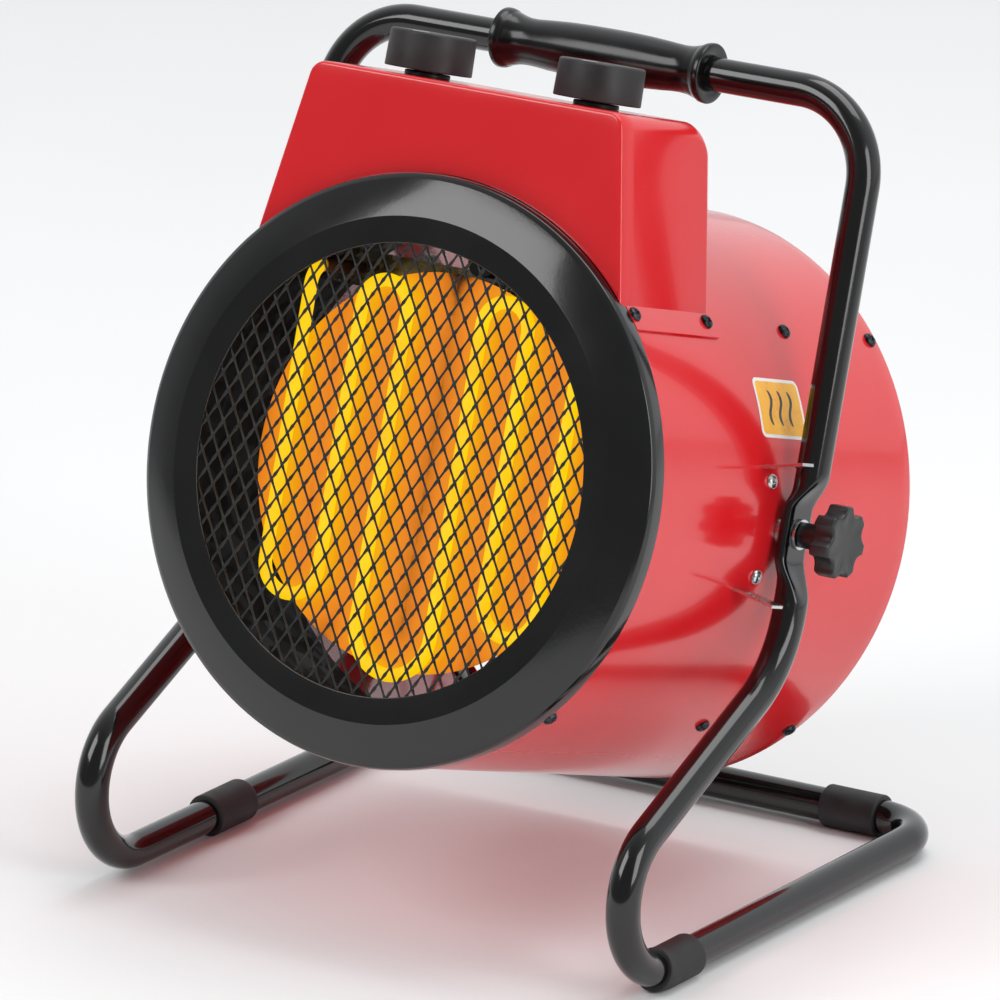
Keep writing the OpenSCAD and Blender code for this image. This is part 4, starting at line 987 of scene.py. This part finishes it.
def label():
    """A plain warmth label: a white rounded oblong, an amber field and three rising wavy lines."""

    def plaque(half_w, half_h, corner, lift):
        """A rounded oblong on the drum, lift above its coat."""
        oblong = [(-half_w, -half_h), (half_w, -half_h), (half_w, half_h), (-half_w, half_h)]
        outline = spaced(rounded(oblong, corner, 6), 2.5)[None]
        shrink = np.concatenate([np.linspace(0.02, 0.95, 8), [1.0, 1.0]])[:, None]
        height = np.concatenate([np.full(9, lift), [lift - 0.06]])[:, None]
        return skin(on_label(outline[..., 0] * shrink, outline[..., 1] * shrink, height))

    add_piece("label_border", [plaque(23, 16, 4, 0.10)], VINYL_WHITE, "heater")
    add_piece("label_field", [plaque(21.2, 14.2, 2.8, 0.15)], VINYL_AMBER, "heater")
    waves, wave_half, swing, stroke = [], 9.5, 1.9, 1.25
    side, lift = np.array([-1, -1, 1, 1]), np.array([[0.14, 0.19, 0.19, 0.14]])
    up = np.linspace(-wave_half, wave_half, 40)[:, None]
    half = stroke * np.sqrt(np.clip(1.01 - (up / wave_half) ** 6, 0, 1))
    for middle_at in (-10.0, 0.0, 10.0):
        across = middle_at + swing * np.sin(up / wave_half * math.pi)
        waves.append(skin(on_label(across + half * side, up, lift)))
    add_piece("label_waves", waves, VINYL_INK, "heater")


label()

# ---- finishes of the CAD nodes that stay

KEPT = {
    GLOWING: ["heating_element"],
    CERAMIC: ["element_terminals", "terminal_block", "thermostat"],
    ZINC: [
        "element_bracket", "cutout_bracket", "motor_bracket", "pivot_bracket_left", "pivot_bracket_right",
        "pivot_bolt_left", "pivot_bolt_right", "pivot_spacers", "pivot_washer_left", "pivot_washer_right",
    ],
    GALVANISED: ["mesh_retainer"],
    SCALED_STEEL: ["heat_liner"],
    DARK_NYLON: ["thermal_cutout", "selector_switch", "cable_gland", "gland_nut"],
    RUBBER: ["wire_grommet"],
    STEEL: ["fan_shaft", "thermostat_shaft", "selector_shaft"],
    BRASS: ["knob_insert_left", "knob_insert_right"],
}
for finish, names in KEPT.items():
    for name in names:
        for material_slot in frame["nodes"][name].material_slots:
            material_slot.material = finish

# ---- studio


def floor_and_sky():
    """A pale matt floor, faintly mottled, under a pale sky that is brighter behind than in front."""
    made, tree, shader, place = blank("pale_studio_floor", Roughness=0.9)
    patch = add(tree, "TexNoise", {"Vector": place, "Scale": 1 / (500 * MM), "Detail": 3.0}).outputs[0]
    colour = add(tree, "ValToRGB", {0: patch}, [(0.3, "#f1f1f1"), (0.7, "#f5f5f5")])
    tree.links.new(colour.outputs[0], shader.inputs["Base Color"])
    relief(tree, shader, patch, 0.05)
    shader.inputs["Specular IOR Level"].default_value = 0.1
    mesh = bpy.data.meshes.new("studio_floor")
    half = 9.0
    mesh.from_pydata([(-half, -half, 0), (half, -half, 0), (half, half, 0), (-half, half, 0)], [], [(0, 1, 2, 3)])
    mesh.materials.append(made)
    floor = show("studio_floor", mesh)
    world = bpy.data.worlds.new("studio_sky")
    world.use_nodes = True
    bpy.context.scene.world = world
    sky = world.node_tree
    way = add(sky, "TexCoord").outputs["Generated"]
    parts = add(sky, "SeparateXYZ", {0: way}).outputs
    front_to_back = {0: parts["Y"], 1: -0.7, 2: 0.5, 3: 0.22, 4: 0.95}
    level = add(sky, "MapRange", front_to_back, interpolation_type="SMOOTHSTEP").outputs[0]
    back = sky.nodes["Background"]
    back.inputs["Color"].default_value = linear("#f6f8fa")
    sky.links.new(level, back.inputs["Strength"])


def soft_box(name, place, target, width, height, power):
    """A rectangular soft light that faces a target, all in metres."""
    light = bpy.data.lights.new(name, "AREA")
    light.shape = "RECTANGLE"
    light.size, light.size_y, light.energy = width, height, power
    made = show(name, light)
    made.location = place
    made.rotation_euler = (Vector(target) - Vector(place)).to_track_quat("-Z", "Y").to_euler()


def camera():
    """A long lens on a line 33 degrees to the right and 17 degrees above, with a slight roll."""
    azimuth, elevation, roll = math.radians(32.97), math.radians(17.28), math.radians(0.43)
    distance, target = 6243 * MM, np.array([5.69, -37.4, 211.2]) * MM
    level = math.cos(elevation)
    back = np.array([math.sin(azimuth) * level, -math.cos(azimuth) * level, math.sin(elevation)])
    right = np.array([math.cos(azimuth), math.sin(azimuth), 0.0])
    up = np.cross(back, right)
    right, up = math.cos(roll) * right + math.sin(roll) * up, math.cos(roll) * up - math.sin(roll) * right
    data = bpy.data.cameras.new("studio_camera")
    data.sensor_width, data.lens = 36.0, 431.46
    data.clip_start, data.clip_end = 0.1, 100.0
    made = show("studio_camera", data)
    place = np.eye(4)
    place[:3, 0], place[:3, 1], place[:3, 2], place[:3, 3] = right, up, back, target + distance * back
    made.matrix_world = Matrix(place.tolist())
    bpy.context.scene.camera = made


floor_and_sky()
soft_box("key_light", (-1.6, -2.6, 2.6), (0, 0, 0.2), 1.8, 1.8, 48)
soft_box("right_light", (2.8, -0.9, 1.5), (0, 0, 0.2), 1.2, 2.0, 30)
soft_box("top_light", (0.3, 0.8, 3.0), (0, 0, 0.2), 2.4, 1.6, 34)
camera()
bpy.context.scene.view_settings.view_transform = "Standard"
bpy.context.scene.view_settings.look = "None"

bpy.context.view_layer.update()
